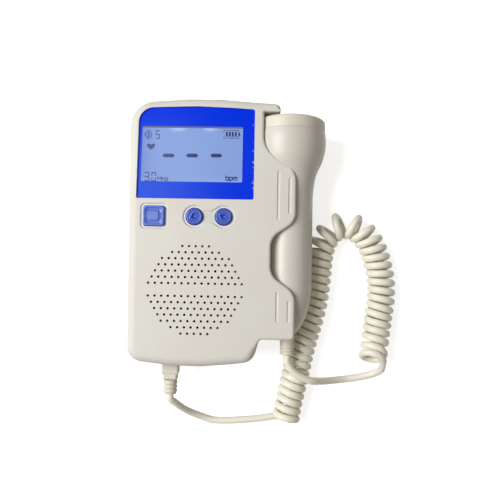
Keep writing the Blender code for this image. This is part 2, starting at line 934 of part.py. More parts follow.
# Rear half of the casing
def rear_shell():
    outline = rounded(unit_outline(rear_clip_inset))
    made = half_casing("rear_shell", outline, split_z - half_gap, 0.0)
    finish(made, casing_grey)
    cut(made, flat_polygon("rear_hollow", plan_points(cavity_outline()), floor_wall, split_z + overrun))
    join(made, *bosses("rear", floor_wall / 2, split_z - half_gap - boss_relief))
    bridge = box(
        "door_bridge",
        (bay_x - bay_half_width - bay_wall, foot_y + wall / 2, floor_wall),
        (bay_x + bay_half_width + bay_wall * 0.5, bay_bottom - bay_wall - gap, floor_wall + bridge_thickness),
    )
    join(made, bridge)
    board_low = socket_bottom - gap - socket_board_thickness - gap
    post_line = (socket_back_y + foot_y + wall) / 2
    for index, (x, low) in enumerate(
        ((plug_x - socket_width / 3, floor_wall / 2), (jack_x, floor_wall + bridge_thickness / 2))
    ):
        post = cylinder(
            f"socket_post_{index}", (x, post_line), socket_post_radius, low, board_low, sides=8
        )
        join(made, post)
    cut(made, channel_cutter("rear_channel"))
    bay_way = box(
        "bay_way",
        (bay_x - bay_half_width, bay_bottom, -overrun),
        (bay_x + bay_half_width, bay_top - door_tongue_reach - gap, floor_wall + overrun / 4),
    )
    door_way = box(
        "door_way",
        (bay_x - door_half_width - running_gap, -half_length - overrun, -overrun),
        (bay_x + door_half_width + running_gap, bay_bottom + overrun, floor_wall),
    )
    cut(made, bay_way, door_way)
    cut(made, *foot_openings("rear"))
    cut(made, *screw_holes("rear_screw", -overrun, split_z + overrun, screw_radius + gap))
    head_room = screw_sink + screw_head_height + gap
    cut(made, *screw_holes("rear_head", -overrun, head_room, screw_head_radius + gap))
    return made


# Display stack and board
def display():
    window = flat_polygon(
        "display_window", window_outline(gap), body_thickness - window_thickness, body_thickness
    )
    finish(window, clear)
    mask_top = body_thickness - window_thickness - gap * 0.5
    mask = flat_polygon("window_mask", window_outline(gap), mask_top - mask_thickness, mask_top)
    finish(mask, window_blue)
    hole = rectangle(
        view_left, view_bottom, view_left + view_width, view_bottom + view_height, window_corner
    )
    cut(mask, flat_polygon("mask_hole", hole, mask_top - overrun, mask_top + overrun))
    left, right = view_left - lcd_border, view_left + view_width + lcd_border
    bottom, top = view_bottom - lcd_border, view_bottom + view_height + lcd_border
    panel = box("lcd_panel", (left, bottom, lcd_bottom), (right, top, lcd_top))
    finish(panel, lcd_pale)
    guide = box("backlight", (left, bottom, backlight_bottom), (right, top, lcd_bottom - gap))
    finish(guide, light_white)
    board = box(
        "main_board",
        (left_x + board_left_inset, key_y - board_below_keys, board_bottom),
        (left_x + board_right_inset, top_screw_y - boss_radius - board_boss_clearance, board_top),
    )
    finish(board, board_green)


# Keys and their switches
key_low = ceiling_z - key_depth
flange_top = ceiling_z - gap
flange_low = flange_top - key_flange_thickness


def key_stem(name, x):
    """The stem under a key, which stops short of its switch."""
    stem_low = board_top + gap + switch_height + switch_pad_height + switch_clearance
    return cylinder(name + "_stem", (x, key_y), key_stem_radius, stem_low, flange_top, sides=12)


def power_key():
    key = flat_polygon(
        "power_key", power_shape(0, power_corner), key_low, body_thickness + key_proud
    )
    finish(key, key_blue)
    bevel = key.modifiers.new("round", "BEVEL")
    bevel.width = key_step
    bevel.segments = 2
    bevel.limit_method = "ANGLE"
    bevel.angle_limit = math.radians(40)
    rim = key_rim_share * power_width
    groove_floor = body_thickness + key_proud - key_step
    outer = flat_polygon(
        "power_groove", power_shape(-rim, power_corner), groove_floor, body_thickness + key_proud + overrun
    )
    island = flat_polygon(
        "power_island", power_shape(-rim * 1.6, power_corner * 0.8), groove_floor - gap,
        body_thickness + key_proud + overrun * 2,
    )
    cut(outer, island)
    cut(key, outer)
    flange = power_shape(key_flange, power_corner + key_flange)
    join(key, flat_polygon("power_flange", flange, flange_low, flange_top))
    join(key, key_stem("power", left_x + power_from_left))


def round_key(name, x, points_up):
    """A domed round key with a sunk triangle, and its stem."""
    top = body_thickness + key_proud
    edge = round_key_radius * key_rim_share
    flange_radius = round_key_radius + key_flange
    key = turned(
        name,
        [
            (0, top),
            (round_key_radius - edge * 1.6, top),
            (round_key_radius - edge * 0.4, top - edge * 0.5),
            (round_key_radius, top - edge * 1.4),
            (round_key_radius, flange_top),
            (flange_radius, flange_top),
            (flange_radius, flange_low),
            (round_key_radius, flange_low),
            (round_key_radius, key_low),
            (0, key_low),
        ],
    )
    finish(key, key_blue)
    key.location = (x, key_y, 0)
    start = math.pi / 2 if points_up else -math.pi / 2
    corners = circle_points(x, key_y, triangle_radius, 3, start)
    cut(key, flat_polygon(name + "_triangle", corners, top - triangle_depth, top + overrun))
    join(key, key_stem(name, x))


def switch(name, x):
    low = board_top + gap
    half = switch_side / 2
    body = box(name, (x - half, key_y - half, low), (x + half, key_y + half, low + switch_height))
    finish(body, black_plastic)
    pad = cylinder(
        name + "_pad", (x, key_y), switch_pad_radius, low + switch_height / 2,
        low + switch_height + switch_pad_height, sides=12,
    )
    join(body, pad)


# Speaker
def speaker():
    frame_profile = [
        (speaker_cone_radius, speaker_top),
        (speaker_radius, speaker_top),
        (speaker_radius, speaker_top - speaker_flange_thickness),
        (speaker_cone_radius + speaker_sheet, speaker_top - speaker_flange_thickness * 1.5),
        (magnet_radius + speaker_sheet, speaker_bottom + speaker_sheet),
        (magnet_radius + speaker_sheet, speaker_bottom),
        (magnet_radius * 0.55, speaker_bottom),
        (magnet_radius * 0.55, speaker_bottom + speaker_sheet),
        (magnet_radius, speaker_bottom + speaker_sheet),
        (speaker_cone_radius, speaker_top - speaker_flange_thickness * 1.5),
        (speaker_cone_radius, speaker_top),
    ]
    frame = finish(turned("speaker_frame", frame_profile), steel)
    cone_outer = speaker_cone_radius - gap
    cone_low = speaker_bottom + speaker_sheet + speaker_depth * 0.3
    cone_profile = [
        (0, cone_low + speaker_sheet * 3),
        (magnet_radius * 0.4, cone_low + speaker_sheet * 1.4),
        (cone_outer * 0.86, speaker_top - speaker_sheet * 1.35),
        (cone_outer * 0.93, speaker_top - speaker_sheet * 0.35),
        (cone_outer, speaker_top - speaker_sheet * 0.5),
        (cone_outer, speaker_top - speaker_sheet * 1.25),
        (cone_outer * 0.86, speaker_top - speaker_sheet * 2.1),
        (magnet_radius * 0.4, cone_low),
        (0, cone_low),
    ]
    cone = finish(turned("speaker_cone", cone_profile), cone_paper)
    core = magnet_radius * 0.45
    magnet_top = speaker_bottom - gap
    magnet_profile = [
        (0, cone_low - gap),
        (core, cone_low - gap),
        (core, magnet_top),
        (magnet_radius, magnet_top),
        (magnet_radius, magnet_top - magnet_height),
        (0, magnet_top - magnet_height),
    ]
    magnet = finish(turned("speaker_magnet", magnet_profile), black_plastic)
    for piece in (frame, cone, magnet):
        piece.location = (speaker_x, speaker_y, 0)


# Batteries, their tray and the sliding door
def tray():
    low = (bay_x - bay_half_width - bay_wall, bay_bottom - bay_wall, bay_floor)
    high = (bay_x + bay_half_width + bay_wall, bay_top + bay_wall, bay_ceiling + bay_wall)
    made = finish(box("battery_tray", low, high), black_plastic)
    inside = box(
        "tray_inside",
        (bay_x - bay_half_width, bay_bottom, bay_floor - overrun),
        (bay_x + bay_half_width, bay_top, bay_ceiling),
    )
    cut(made, inside)


def batteries():
    plus_y = bay_top - contact_thickness - gap
    body_top = plus_y - gap - battery_terminal_height
    profile = [
        (0, body_top + battery_terminal_height),
        (battery_terminal_radius, body_top + battery_terminal_height),
        (battery_terminal_radius, body_top),
        (battery_radius, body_top),
        (battery_radius, body_top - battery_length),
        (0, body_top - battery_length),
    ]
    for index, side in enumerate((-1, 1)):
        battery = finish(turned(f"battery_{index + 1}", profile), battery_shell)
        battery.location = (bay_x + side * (battery_radius + gap), 0, battery_z)
        battery.rotation_euler = (-math.pi / 2, 0, 0)
    plate_low = door_recess + door_thickness + door_tongue_thickness + gap * 3
    plate = box(
        "battery_contact_plate",
        (bay_x - battery_radius * 1.5, plus_y, plate_low),
        (bay_x + battery_radius * 1.5, plus_y + contact_thickness, battery_z + battery_radius * 0.6),
    )
    finish(plate, steel)
    spring_top = body_top - battery_length - gap
    for index, side in enumerate((-1, 1)):
        spring(f"battery_spring_{index + 1}", bay_x + side * (battery_radius + gap), spring_top)


def spring(name, x, top):
    """A conical helix from the tray's end wall up to the battery, wide at the wall."""
    bottom = bay_bottom + gap
    length = top - bottom - spring_wire
    steps = spring_turns * 8
    points = []
    for step in range(steps + 1):
        share = step / steps
        radius = spring_radius * (1 - (1 - spring_taper_share) * share)
        angle = math.tau * spring_turns * share
        points.append(
            (
                x + radius * math.cos(angle),
                bottom + spring_wire / 2 + length * share,
                battery_z + radius * math.sin(angle),
            )
        )
    finish(tube(name, points, spring_wire, curl_sides_resolution), steel)


def door():
    """The door lies in the back face, runs out over the foot, and holds by a tongue at its top."""
    high_y = bay_top - door_tongue_reach - gap - running_gap
    low_z, high_z = door_recess, door_recess + door_thickness
    made = box(
        "battery_door", (bay_x - door_half_width, door_foot, low_z), (bay_x + door_half_width, high_y, high_z)
    )
    finish(made, casing_grey)
    tongue_low = floor_wall + gap
    tongue = box(
        "door_tongue",
        (bay_x - door_tongue_half_width, high_y - door_tongue_root, high_z - gap),
        (
            bay_x + door_tongue_half_width,
            bay_top - gap,
            tongue_low + door_tongue_thickness,
        ),
    )
    under = box(
        "tongue_relief",
        (bay_x - door_tongue_half_width - gap, high_y, low_z),
        (bay_x + door_tongue_half_width + gap, bay_top + gap, tongue_low),
    )
    cut(tongue, under)
    join(made, tongue)
    grip_half = door_half_width * door_grip_span_share
    for index in range(door_grip_count):
        y = door_foot + door_grip_from_foot + index * door_grip_pitch
        cut(
            made,
            box(
                f"door_grip_{index}",
                (bay_x - grip_half, y, low_z - overrun),
                (bay_x + grip_half, y + door_grip_width, low_z + door_grip_depth),
            ),
        )


# Screws
def screws():
    head_low = screw_sink
    profile = [
        (0, head_low + screw_length),
        (screw_radius * 0.6, head_low + screw_length),
        (screw_radius, head_low + screw_length - screw_radius),
        (screw_radius, head_low + screw_head_height),
        (screw_head_radius, head_low + screw_head_height),
        (screw_head_radius, head_low + screw_head_height * 0.3),
        (screw_head_radius * 0.8, head_low),
        (0, head_low),
    ]
    reach = screw_head_radius * 0.62
    half = screw_slot_width / 2
    for index, (x, y) in enumerate(screw_places):
        made = finish(turned(f"shell_screw_{index + 1}", profile, steps=10), steel)
        made.location = (x, y, 0)
        bars = []
        for name, across, along in (("a", reach, half), ("b", half, reach)):
            bars.append(
                box(
                    f"screw_slot_{index}_{name}",
                    (x - across, y - along, head_low - overrun),
                    (x + across, y + along, head_low + screw_slot_depth),
                )
            )
        cut(made, *bars)


# Socket board with the probe's socket and the headphone jack
def sockets():
    half_width, half_height = socket_width / 2, socket_height / 2
    housing = box(
        "probe_socket",
        (plug_x - half_width, socket_face_y, split_z - half_height),
        (plug_x + half_width, socket_back_y, split_z + half_height),
    )
    finish(housing, black_plastic)
    mouth_half = half_width - socket_wall
    mouth = box(
        "socket_mouth",
        (plug_x - mouth_half, socket_face_y - overrun, split_z - half_height + socket_wall),
        (plug_x + mouth_half, socket_back_y - socket_wall, split_z + half_height - socket_wall),
    )
    cut(housing, mouth)
    jack_low = socket_bottom
    jack = box(
        "headphone_jack",
        (jack_x - jack_width / 2, jack_face_y + overrun, jack_low),
        (jack_x + jack_width / 2, jack_back_y, split_z + jack_width / 2),
    )
    finish(jack, black_plastic)
    nose = turned(
        "jack_nose",
        [
            (0, jack_face_y + overrun * 1.5),
            (jack_nose_radius, jack_face_y + overrun * 1.5),
            (jack_nose_radius, socket_face_y),
            (0, socket_face_y),
        ],
        steps=16,
    )
    bore = turned(
        "jack_bore",
        [
            (0, jack_back_y - socket_wall),
            (jack_bore_radius, jack_back_y - socket_wall),
            (jack_bore_radius, socket_face_y - overrun),
            (0, socket_face_y - overrun),
        ],
        steps=16,
    )
    for piece in (nose, bore):
        piece.location = (jack_x, 0, split_z)
        piece.rotation_euler = (-math.pi / 2, 0, 0)
    join(jack, nose)
    cut(jack, bore)
    board_high = socket_bottom - gap
    board = box(
        "socket_board",
        (plug_x - half_width, foot_y + wall + socket_board_margin, board_high - socket_board_thickness),
        (jack_x + jack_width / 2, socket_back_y, board_high),
    )
    finish(board, board_green)


def plug():
    """The moulded plug, its metal nose in the socket, and its ribbed relief."""
    face_y = -half_length - gap
    half_width, half_height = plug_width / 2, plug_height / 2
    body = box(
        "plug_body",
        (plug_x - half_width, face_y - plug_length, split_z - half_height),
        (plug_x + half_width, face_y, split_z + half_height),
        plug_round,
    )
    finish(body, cream)
    neck_top = face_y - plug_length + plug_round * 2
    neck_low = face_y - plug_length - plug_neck_length
    neck = box(
        "plug_neck",
        (plug_x - plug_neck_width / 2, neck_low, split_z - plug_neck_height / 2),
        (plug_x + plug_neck_width / 2, neck_top, split_z + plug_neck_height / 2),
        plug_round,
    )
    join(body, neck)
    nose = box(
        "plug_contacts",
        (plug_x - nose_width / 2, face_y + gap, split_z - nose_height / 2),
        (plug_x + nose_width / 2, face_y + gap + nose_length, split_z + nose_height / 2),
    )
    finish(nose, steel)
    relief = turned(
        "plug_strain_relief",
        ribbed_profile(
            neck_low - gap, plug_relief_length, plug_relief_radius, plug_relief_end_radius,
            plug_rib_count, plug_rib_depth,
        ),
        steps=12,
    )
    finish(relief, cream)
    relief.location = (plug_x, 0, split_z)
    relief.rotation_euler = (-math.pi / 2, 0, 0)
    return neck_low - gap - plug_relief_length


def ribbed_profile(top, length, top_radius, end_radius, ribs, depth):
    """A tapered relief as (radius, height) points: each rib is full width, then a groove."""
    points = [(0, top)]
    for rib in range(ribs):
        for share, groove in ((0.0, 0), (0.6, 0), (0.68, 1), (0.92, 1)):
            along = (rib + share) / ribs
            radius = top_radius + (end_radius - top_radius) * along - groove * depth
            points.append((radius, top - length * along))
    points.append((end_radius, top - length))
    points.append((0, top - length))
    return points


# Probe
def probe():
    holder = bpy.data.objects.new("probe_axis", None)
    assembly.objects.link(holder)
    holder.location = (axis_x, 0, probe_axis_height)
    holder.rotation_euler = (-math.pi / 2, 0, 0)
    skin = probe_profile()
    cord_way = probe_relief_end_radius + gap
    lining = [(max(radius - probe_wall, cord_way), y) for radius, y in reversed(skin)]
    reach = head_radius + overrun
    for name, side in (("probe_shell_front", 1), ("probe_shell_back", -1)):
        half = turned(name, [*skin, *lining, skin[0]], steps=24)
        finish(half, casing_grey)
        half.parent = holder
        joint, far = probe_axis_height + side * half_gap, probe_axis_height - side * reach
        cut(
            half,
            box(
                name + "_other_side",
                (axis_x - reach, probe_y(tip_shares[-1][0]) - overrun, min(joint, far)),
                (axis_x + reach, probe_top + overrun, max(joint, far)),
            ),
        )
    seam_y = probe_y(head_shares[0][0])
    cap_low = seam_y + gap
    collar_radius = handle_radius + (head_radius - handle_radius) * head_shares[0][1] - probe_wall - gap * 2
    collar_inner = collar_radius - cap_collar_wall
    ledge = probe_top - acoustic_window_thickness - gap
    cap_profile = [
        (window_radius + gap, ledge),
        (window_radius + gap, probe_top),
        (cap_radius - cap_round, probe_top),
        (cap_radius - cap_round * 0.3, probe_top - cap_round * 0.3),
        (cap_radius, probe_top - cap_round),
        (cap_radius, cap_low),
        (collar_radius, cap_low),
        (collar_radius, cap_low - cap_collar_length),
        (collar_inner, cap_low - cap_collar_length),
        (collar_inner, ledge),
        (window_radius + gap, ledge),
    ]
    cap = finish(turned("probe_cap", cap_profile, steps=24), cream)
    window_low = probe_top - acoustic_window_thickness
    face = finish(
        turned(
            "acoustic_window",
            [(0, probe_top), (window_radius, probe_top), (window_radius, window_low), (0, window_low)],
            steps=36,
        ),
        window_cream,
    )
    crystal_top = window_low - gap
    crystal_low = crystal_top - crystal_thickness
    pieces = [cap, face]
    for name, turn_by in (("transmit_crystal", 0.0), ("receive_crystal", math.pi)):
        arc = [
            (crystal_radius * math.sin(math.pi * step / 12), crystal_radius * math.cos(math.pi * step / 12))
            for step in range(13)
        ]
        crystal = flat_polygon(name, [(x + crystal_split / 2, y) for x, y in arc], crystal_low, crystal_top)
        finish(crystal, ceramic)
        crystal.rotation_euler = (0, 0, turn_by)
        pieces.append(crystal)
    backing_top = crystal_low - gap
    backing_radius = collar_inner - gap
    backing = turned(
        "backing_block",
        [
            (0, backing_top),
            (backing_radius, backing_top),
            (backing_radius, backing_top - backing_thickness),
            (0, backing_top - backing_thickness),
        ],
    )
    finish(backing, absorber)
    pieces.append(backing)
    board_half = handle_radius - probe_wall - gap * 2
    board_end = probe_board_length / 2
    board = box(
        "probe_board",
        (-board_half, -probe_board_thickness / 2, -board_end),
        (board_half, probe_board_thickness / 2, board_end),
    )
    finish(board, board_green)
    pieces.append(board)
    tip_y = probe_y(1.0)
    collar_top = tip_y + handle_radius * 0.62
    relief_end = tip_y - probe_relief_length
    grooves = []
    for index in range(2):
        top = relief_end + probe_relief_groove_width * (5 - 3 * index)
        grooves += [
            (probe_relief_radius, top),
            (probe_relief_radius - probe_relief_groove_depth, top - probe_relief_groove_width * 0.3),
            (probe_relief_radius - probe_relief_groove_depth, top - probe_relief_groove_width),
            (probe_relief_radius, top - probe_relief_groove_width * 1.3),
        ]
    relief = turned(
        "probe_strain_relief",
        [
            (0, collar_top),
            (probe_relief_collar_radius, collar_top),
            (probe_relief_collar_radius, collar_top - probe_relief_collar_length),
            (probe_relief_end_radius, collar_top - probe_relief_collar_length),
            (probe_relief_end_radius, tip_y - gap),
            (probe_relief_radius, tip_y - gap),
            *grooves,
            (probe_relief_end_radius, relief_end),
            (0, relief_end),
        ],
        steps=12,
    )
    finish(relief, cream)
    pieces.append(relief)
    for piece in pieces:
        along_probe(piece, holder)
    return relief_end


# Cord
def tube(name, points, diameter, resolution):
    """A round tube along points, with closed ends."""
    curve = bpy.data.curves.new(name, "CURVE")
    curve.dimensions = "3D"
    curve.bevel_depth = diameter / 2
    curve.bevel_resolution = resolution
    curve.use_fill_caps = True
    spline = curve.splines.new("POLY")
    spline.points.add(len(points) - 1)
    for target, point in zip(spline.points, points):
        target.co = (*point, 1)
    return add_object(name, curve)


def smooth_route(points, step, before=None, after=None):
    """Evenly spaced points on a smooth curve (Catmull-Rom) through the route's points."""
    route = np.array(points, float)
    before = 2 * route[0] - route[1] if before is None else before
    after = 2 * route[-1] - route[-2] if after is None else after
    padded = np.vstack([before, route, after])
    shares = np.linspace(0, 1, 24, endpoint=False)[:, None]
    fine = []
    for before, start, end, after in zip(padded, padded[1:], padded[2:], padded[3:]):
        fine.append(
            0.5 * (
                2 * start
                + (end - before) * shares
                + (2 * before - 5 * start + 4 * end - after) * shares**2
                + (3 * start - before - 3 * end + after) * shares**3
            )
        )
    fine = np.vstack([*fine, route[-1:]])
    run = np.concatenate([[0], np.cumsum(np.linalg.norm(np.diff(fine, axis=0), axis=1))])
    count = max(2, round(run[-1] / step))
    even = np.linspace(0, run[-1], count + 1)
    return np.column_stack([np.interp(even, run, fine[:, axis]) for axis in range(3)])


def eased(line, reach):
    """The line with its small bends averaged out over `reach` points to each side."""
    before = 2 * line[0] - line[reach:0:-1]
    after = 2 * line[-1] - line[-2 : -reach - 2 : -1]
    window = np.hanning(2 * reach + 3)[1:-1]
    window /= window.sum()
    padded = np.vstack([before, line, after])
    return np.column_stack([np.convolve(column, window, mode="valid") for column in padded.T])


def curl_points():
    """The helix of the curly cord along its centre line.

    Each strand keeps the same distance to the next on the inner side of a bend, so a curl
    takes more of the centre line where the line bends. The turns run left-handed.
    """
    laid = [(x, y, coil_height + rise) for x, y, rise in coil_route]
    line = eased(smooth_route(laid, ease_step), round(coil_ease / ease_step))
    spacing = np.linalg.norm(np.diff(line, axis=0), axis=1)
    run = np.concatenate([[0], np.cumsum(spacing)])
    along = np.gradient(line, run, axis=0)
    along /= np.linalg.norm(along, axis=1)[:, None]
    bend = np.linalg.norm(np.gradient(along, run, axis=0), axis=1) * bend_margin_share
    turn_rate = (1 - bend * helix_radius) / coil_strand_spacing
    turns = np.concatenate([[0], np.cumsum((turn_rate[1:] + turn_rate[:-1]) / 2 * spacing)])
    part_turn = (start_phase - end_phase) / math.tau % 1
    total = math.floor(turns[-1] - part_turn) + part_turn
    turns *= total / turns[-1]
    picked = np.linspace(0, total, round(total * points_per_curl) + 1)
    places = np.interp(picked, turns, run)
    centre = np.column_stack([np.interp(places, run, line[:, axis]) for axis in range(3)])
    heading = np.column_stack([np.interp(places, run, along[:, axis]) for axis in range(3)])
    side = np.cross(heading, (0, 0, 1))
    side /= np.linalg.norm(side, axis=1)[:, None]
    down = np.cross(heading, side)
    phase = start_phase - math.tau * picked
    across, dip = np.cos(phase)[:, None], np.sin(phase)[:, None]
    strand = centre + helix_radius * (across * side + dip * down)
    tangent = math.tau * helix_radius * (dip * side - across * down) + coil_strand_spacing * heading
    tangent /= np.linalg.norm(tangent, axis=1)[:, None]
    return strand, tangent[0], tangent[-1], total


def least_gap(points):
    """The least space between strands that aren't neighbours along the tube."""
    least = math.inf
    for index, point in enumerate(points):
        later = points[index + points_per_curl // 2 :]
        if len(later):
            least = min(least, np.linalg.norm(later - point, axis=1).min())
    return least - cord_diameter


def stretch(name, start, first_way, route, end, last_way):
    """A free stretch: out of one end straight, through its route, and straight into the other."""
    lead = cord_diameter * stretch_lead_share
    between = [start + first_way * lead, *map(np.array, route), end - last_way * lead]
    points = np.vstack([start, smooth_route(between, route_step, start, end), end])
    finish(tube(name, points, cord_diameter, cord_sides_resolution), cord_cream)
    return points


def cord(plug_end_y, probe_end_y):
    strand, into_coil, out_of_coil, turns = curl_points()
    coil = np.vstack(
        [strand[0] - into_coil * cord_diameter, strand, strand[-1] + out_of_coil * cord_diameter]
    )
    finish(tube("cord_coil", coil, cord_diameter, curl_sides_resolution), cord_cream)
    away = np.array((0.0, -1.0, 0.0))
    plug_run = stretch(
        "cord_plug_stretch",
        np.array((plug_x, plug_end_y - gap, split_z)),
        away,
        plug_stretch_route,
        coil[0] - into_coil * gap,
        into_coil,
    )
    probe_run = stretch(
        "cord_probe_stretch",
        np.array((axis_x, probe_end_y - gap, probe_axis_height)),
        away,
        probe_stretch_route,
        coil[-1] + out_of_coil * gap,
        -out_of_coil,
    )
    lengths = [np.linalg.norm(np.diff(run, axis=0), axis=1).sum() for run in (plug_run, coil, probe_run)]
    print(f"curls {turns:.2f}, least gap to itself {least_gap(strand) * 1000:.3f} mm")
    print("plug stretch, coil and probe stretch, mm:", [round(x * 1000, 1) for x in lengths])


front_shell()
rear_shell()
display()
power_key()
round_key("volume_up_key", left_x + volume_up_from_left, True)
round_key("volume_down_key", left_x + volume_down_from_left, False)
switch("power_switch", left_x + power_from_left)
switch("volume_up_switch", left_x + volume_up_from_left)
switch("volume_down_switch", left_x + volume_down_from_left)
speaker()
tray()
batteries()
door()
screws()
sockets()
cord(plug(), probe())
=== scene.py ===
# %% [markdown]
# # A fetal doppler on its curly cord
#
# A hand unit with a display, three keys and a speaker holds its probe in a cradle down its
# right side. The solids come ready from the CAD model and stay where they are. This lesson
# dresses them: each visible piece becomes a smooth surface worked out with numpy, and each
# finish becomes a node material. Lengths are in metres, +Z points up out of the display,
# and +Y points to the display's end.

# %% Tools and the fixed frame
import json
import math

import bmesh
import bpy
import numpy as np
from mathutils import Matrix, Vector
from mathutils.geometry import delaunay_2d_cdt


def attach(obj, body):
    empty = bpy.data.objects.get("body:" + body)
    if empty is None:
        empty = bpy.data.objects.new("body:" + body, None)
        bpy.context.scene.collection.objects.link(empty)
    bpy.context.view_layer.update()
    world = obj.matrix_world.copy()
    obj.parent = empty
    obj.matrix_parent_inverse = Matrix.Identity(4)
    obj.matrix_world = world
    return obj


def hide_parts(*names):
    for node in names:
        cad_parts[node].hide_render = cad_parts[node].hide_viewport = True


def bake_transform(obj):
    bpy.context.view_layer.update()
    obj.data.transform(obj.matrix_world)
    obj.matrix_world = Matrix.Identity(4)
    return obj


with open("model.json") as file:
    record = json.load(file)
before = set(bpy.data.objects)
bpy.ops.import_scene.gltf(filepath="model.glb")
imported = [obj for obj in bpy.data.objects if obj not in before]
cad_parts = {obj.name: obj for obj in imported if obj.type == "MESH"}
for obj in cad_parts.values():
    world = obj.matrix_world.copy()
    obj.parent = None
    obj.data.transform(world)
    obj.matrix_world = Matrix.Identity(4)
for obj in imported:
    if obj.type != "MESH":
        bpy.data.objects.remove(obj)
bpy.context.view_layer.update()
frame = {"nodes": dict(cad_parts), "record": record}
nodes = frame["nodes"]
mm = 0.001

# %% [markdown]
# ## Camera
#
# The photograph was taken from above, about a quarter of a metre away, so near parts look
# larger than far ones. The camera's place was found by matching the speaker's holes, the
# display's corners and the cord with their places in the picture.

# %% Camera
def add_object(name, data):
    """A new object for some data, linked to the scene."""
    made = bpy.data.objects.new(name, data)
    bpy.context.scene.collection.objects.link(made)
    return made


camera_data = bpy.data.cameras.new("camera")
camera_data.lens = 36
camera_data.sensor_width = 36
camera_data.clip_start = 0.01
camera = add_object("camera", camera_data)
camera.location = (0.01532, -0.0176, 0.28054)
camera.rotation_euler = [math.radians(angle) for angle in (2.028, 0.748, 1.013)]
bpy.context.scene.camera = camera
print("camera at", tuple(camera.location))

# %% [markdown]
# ## The cord's route
#
# The cord is one length of cable: a free stretch from the plug, a long coil of about 42
# left-handed curls, and a free stretch up to the probe. The coil could be a helix bent by
# a modifier, but its curls would squeeze together on the inner side of the bend. Here the
# turns are spaced along the bent centre line instead, so each strand keeps its distance
# from the next one, as wound cable does. Each length is a tube turned into a mesh.

# %% The cord's measures and the points it passes through
cord_diameter = 3.8 * mm
coil_diameter = 15.2 * mm
strand_spacing = 4.02 * mm
helix_radius = (coil_diameter - cord_diameter) / 2
coil_height = coil_diameter / 2 + 0.1 * mm
start_phase, end_phase = math.radians(90), math.radians(195)
curl_steps = 28
# In a bend the turns open by a little more than their radius alone asks for
bend_room = 1.08
coil_route = mm * np.array(
    [
        (32.4, -99, 0), (33.3, -92, 0), (35.6, -82, 0), (37.8, -72, 0), (39.9, -62, 0),
        (42.6, -52, 0), (45.2, -43, 0), (47.1, -34, 0), (48.3, -24, 0), (49.1, -14, 0),
        (50.7, -5, 0), (54.8, 2.5, 0), (61.4, 6.3, 0), (68.6, 5.3, 0), (74.5, 0.3, 0),
        (78.6, -7, 0), (81.5, -16, 0), (82.9, -25, 0), (82.8, -34, 0), (81.5, -43, 0),
        (80.4, -52, 0), (79.2, -59.6, 1.2), (77.4, -65.5, 5),
    ]
)
plug_route = mm * np.array(
    [
        (-26.6, -88.9, 15.4), (-24.3, -91.8, 12.2), (-21.4, -94.7, 8.6), (-17.6, -97.5, 5.4),
        (-12.9, -99.9, 3.1), (-7.5, -101.7, 2.2), (0, -101.9, 2), (8, -101.4, 2),
        (16, -100.6, 2), (20.8, -99.9, 2),
    ]
)
probe_route = mm * np.array(
    [
        (32.1, -66.4, 19.5), (34, -69.7, 19), (37, -72.5, 18.4), (40.8, -74.7, 17.5),
        (45, -76.3, 16), (49.5, -77.2, 12.5), (54.5, -77.8, 8.4), (60, -78, 4.8),
        (65.5, -77.8, 2.6), (70.8, -76.9, 2.8), (75.3, -75.7, 3.7), (78.9, -74.5, 4.7),
        (81.6, -72.8, 6.4),
    ]
)
print(f"coil of {coil_diameter / mm:.0f} mm from cord of {cord_diameter / mm:.1f} mm")


# %% A smooth line through given points
def distance_along(line):
    """How far each point lies from the first one, measured along the line."""
    return np.concatenate([[0], np.cumsum(np.linalg.norm(np.diff(line, axis=0), axis=1))])


def sampled(line, run, places):
    """The line's points, or values kept with them, interpolated at given distances."""
    return np.column_stack([np.interp(places, run, column) for column in line.T])


def smooth_line(route, step, before=None, after=None):
    """Catmull-Rom: between two points the line is a cubic whose slope at each point is half
    the way from the point before to the point after. It comes back in even steps."""
    before = 2 * route[0] - route[1] if before is None else before
    after = 2 * route[-1] - route[-2] if after is None else after
    points = np.vstack([before, route, after])
    a, b, c, d = (points[k : len(points) - 3 + k, None] for k in range(4))
    t = np.linspace(0, 1, 24, endpoint=False)[None, :, None]
    fine = 2 * b + (c - a) * t + (2 * a - 5 * b + 4 * c - d) * t**2
    fine = 0.5 * (fine + (3 * b - a - 3 * c + d) * t**3)
    fine = np.vstack([fine.reshape(-1, 3), route[-1:]])
    run = distance_along(fine)
    return sampled(fine, run, np.linspace(0, run[-1], max(2, round(run[-1] / step)) + 1))


def eased(line, reach):
    """Averages each point with its neighbours under a raised cosine, so small bends fade."""
    before, after = line[reach:0:-1], line[-2 : -reach - 2 : -1]
    padded = np.vstack([2 * line[0] - before, line, 2 * line[-1] - after])
    window = np.hanning(2 * reach + 3)[1:-1]
    window /= window.sum()
    return np.column_stack([np.convolve(column, window, "valid") for column in padded.T])


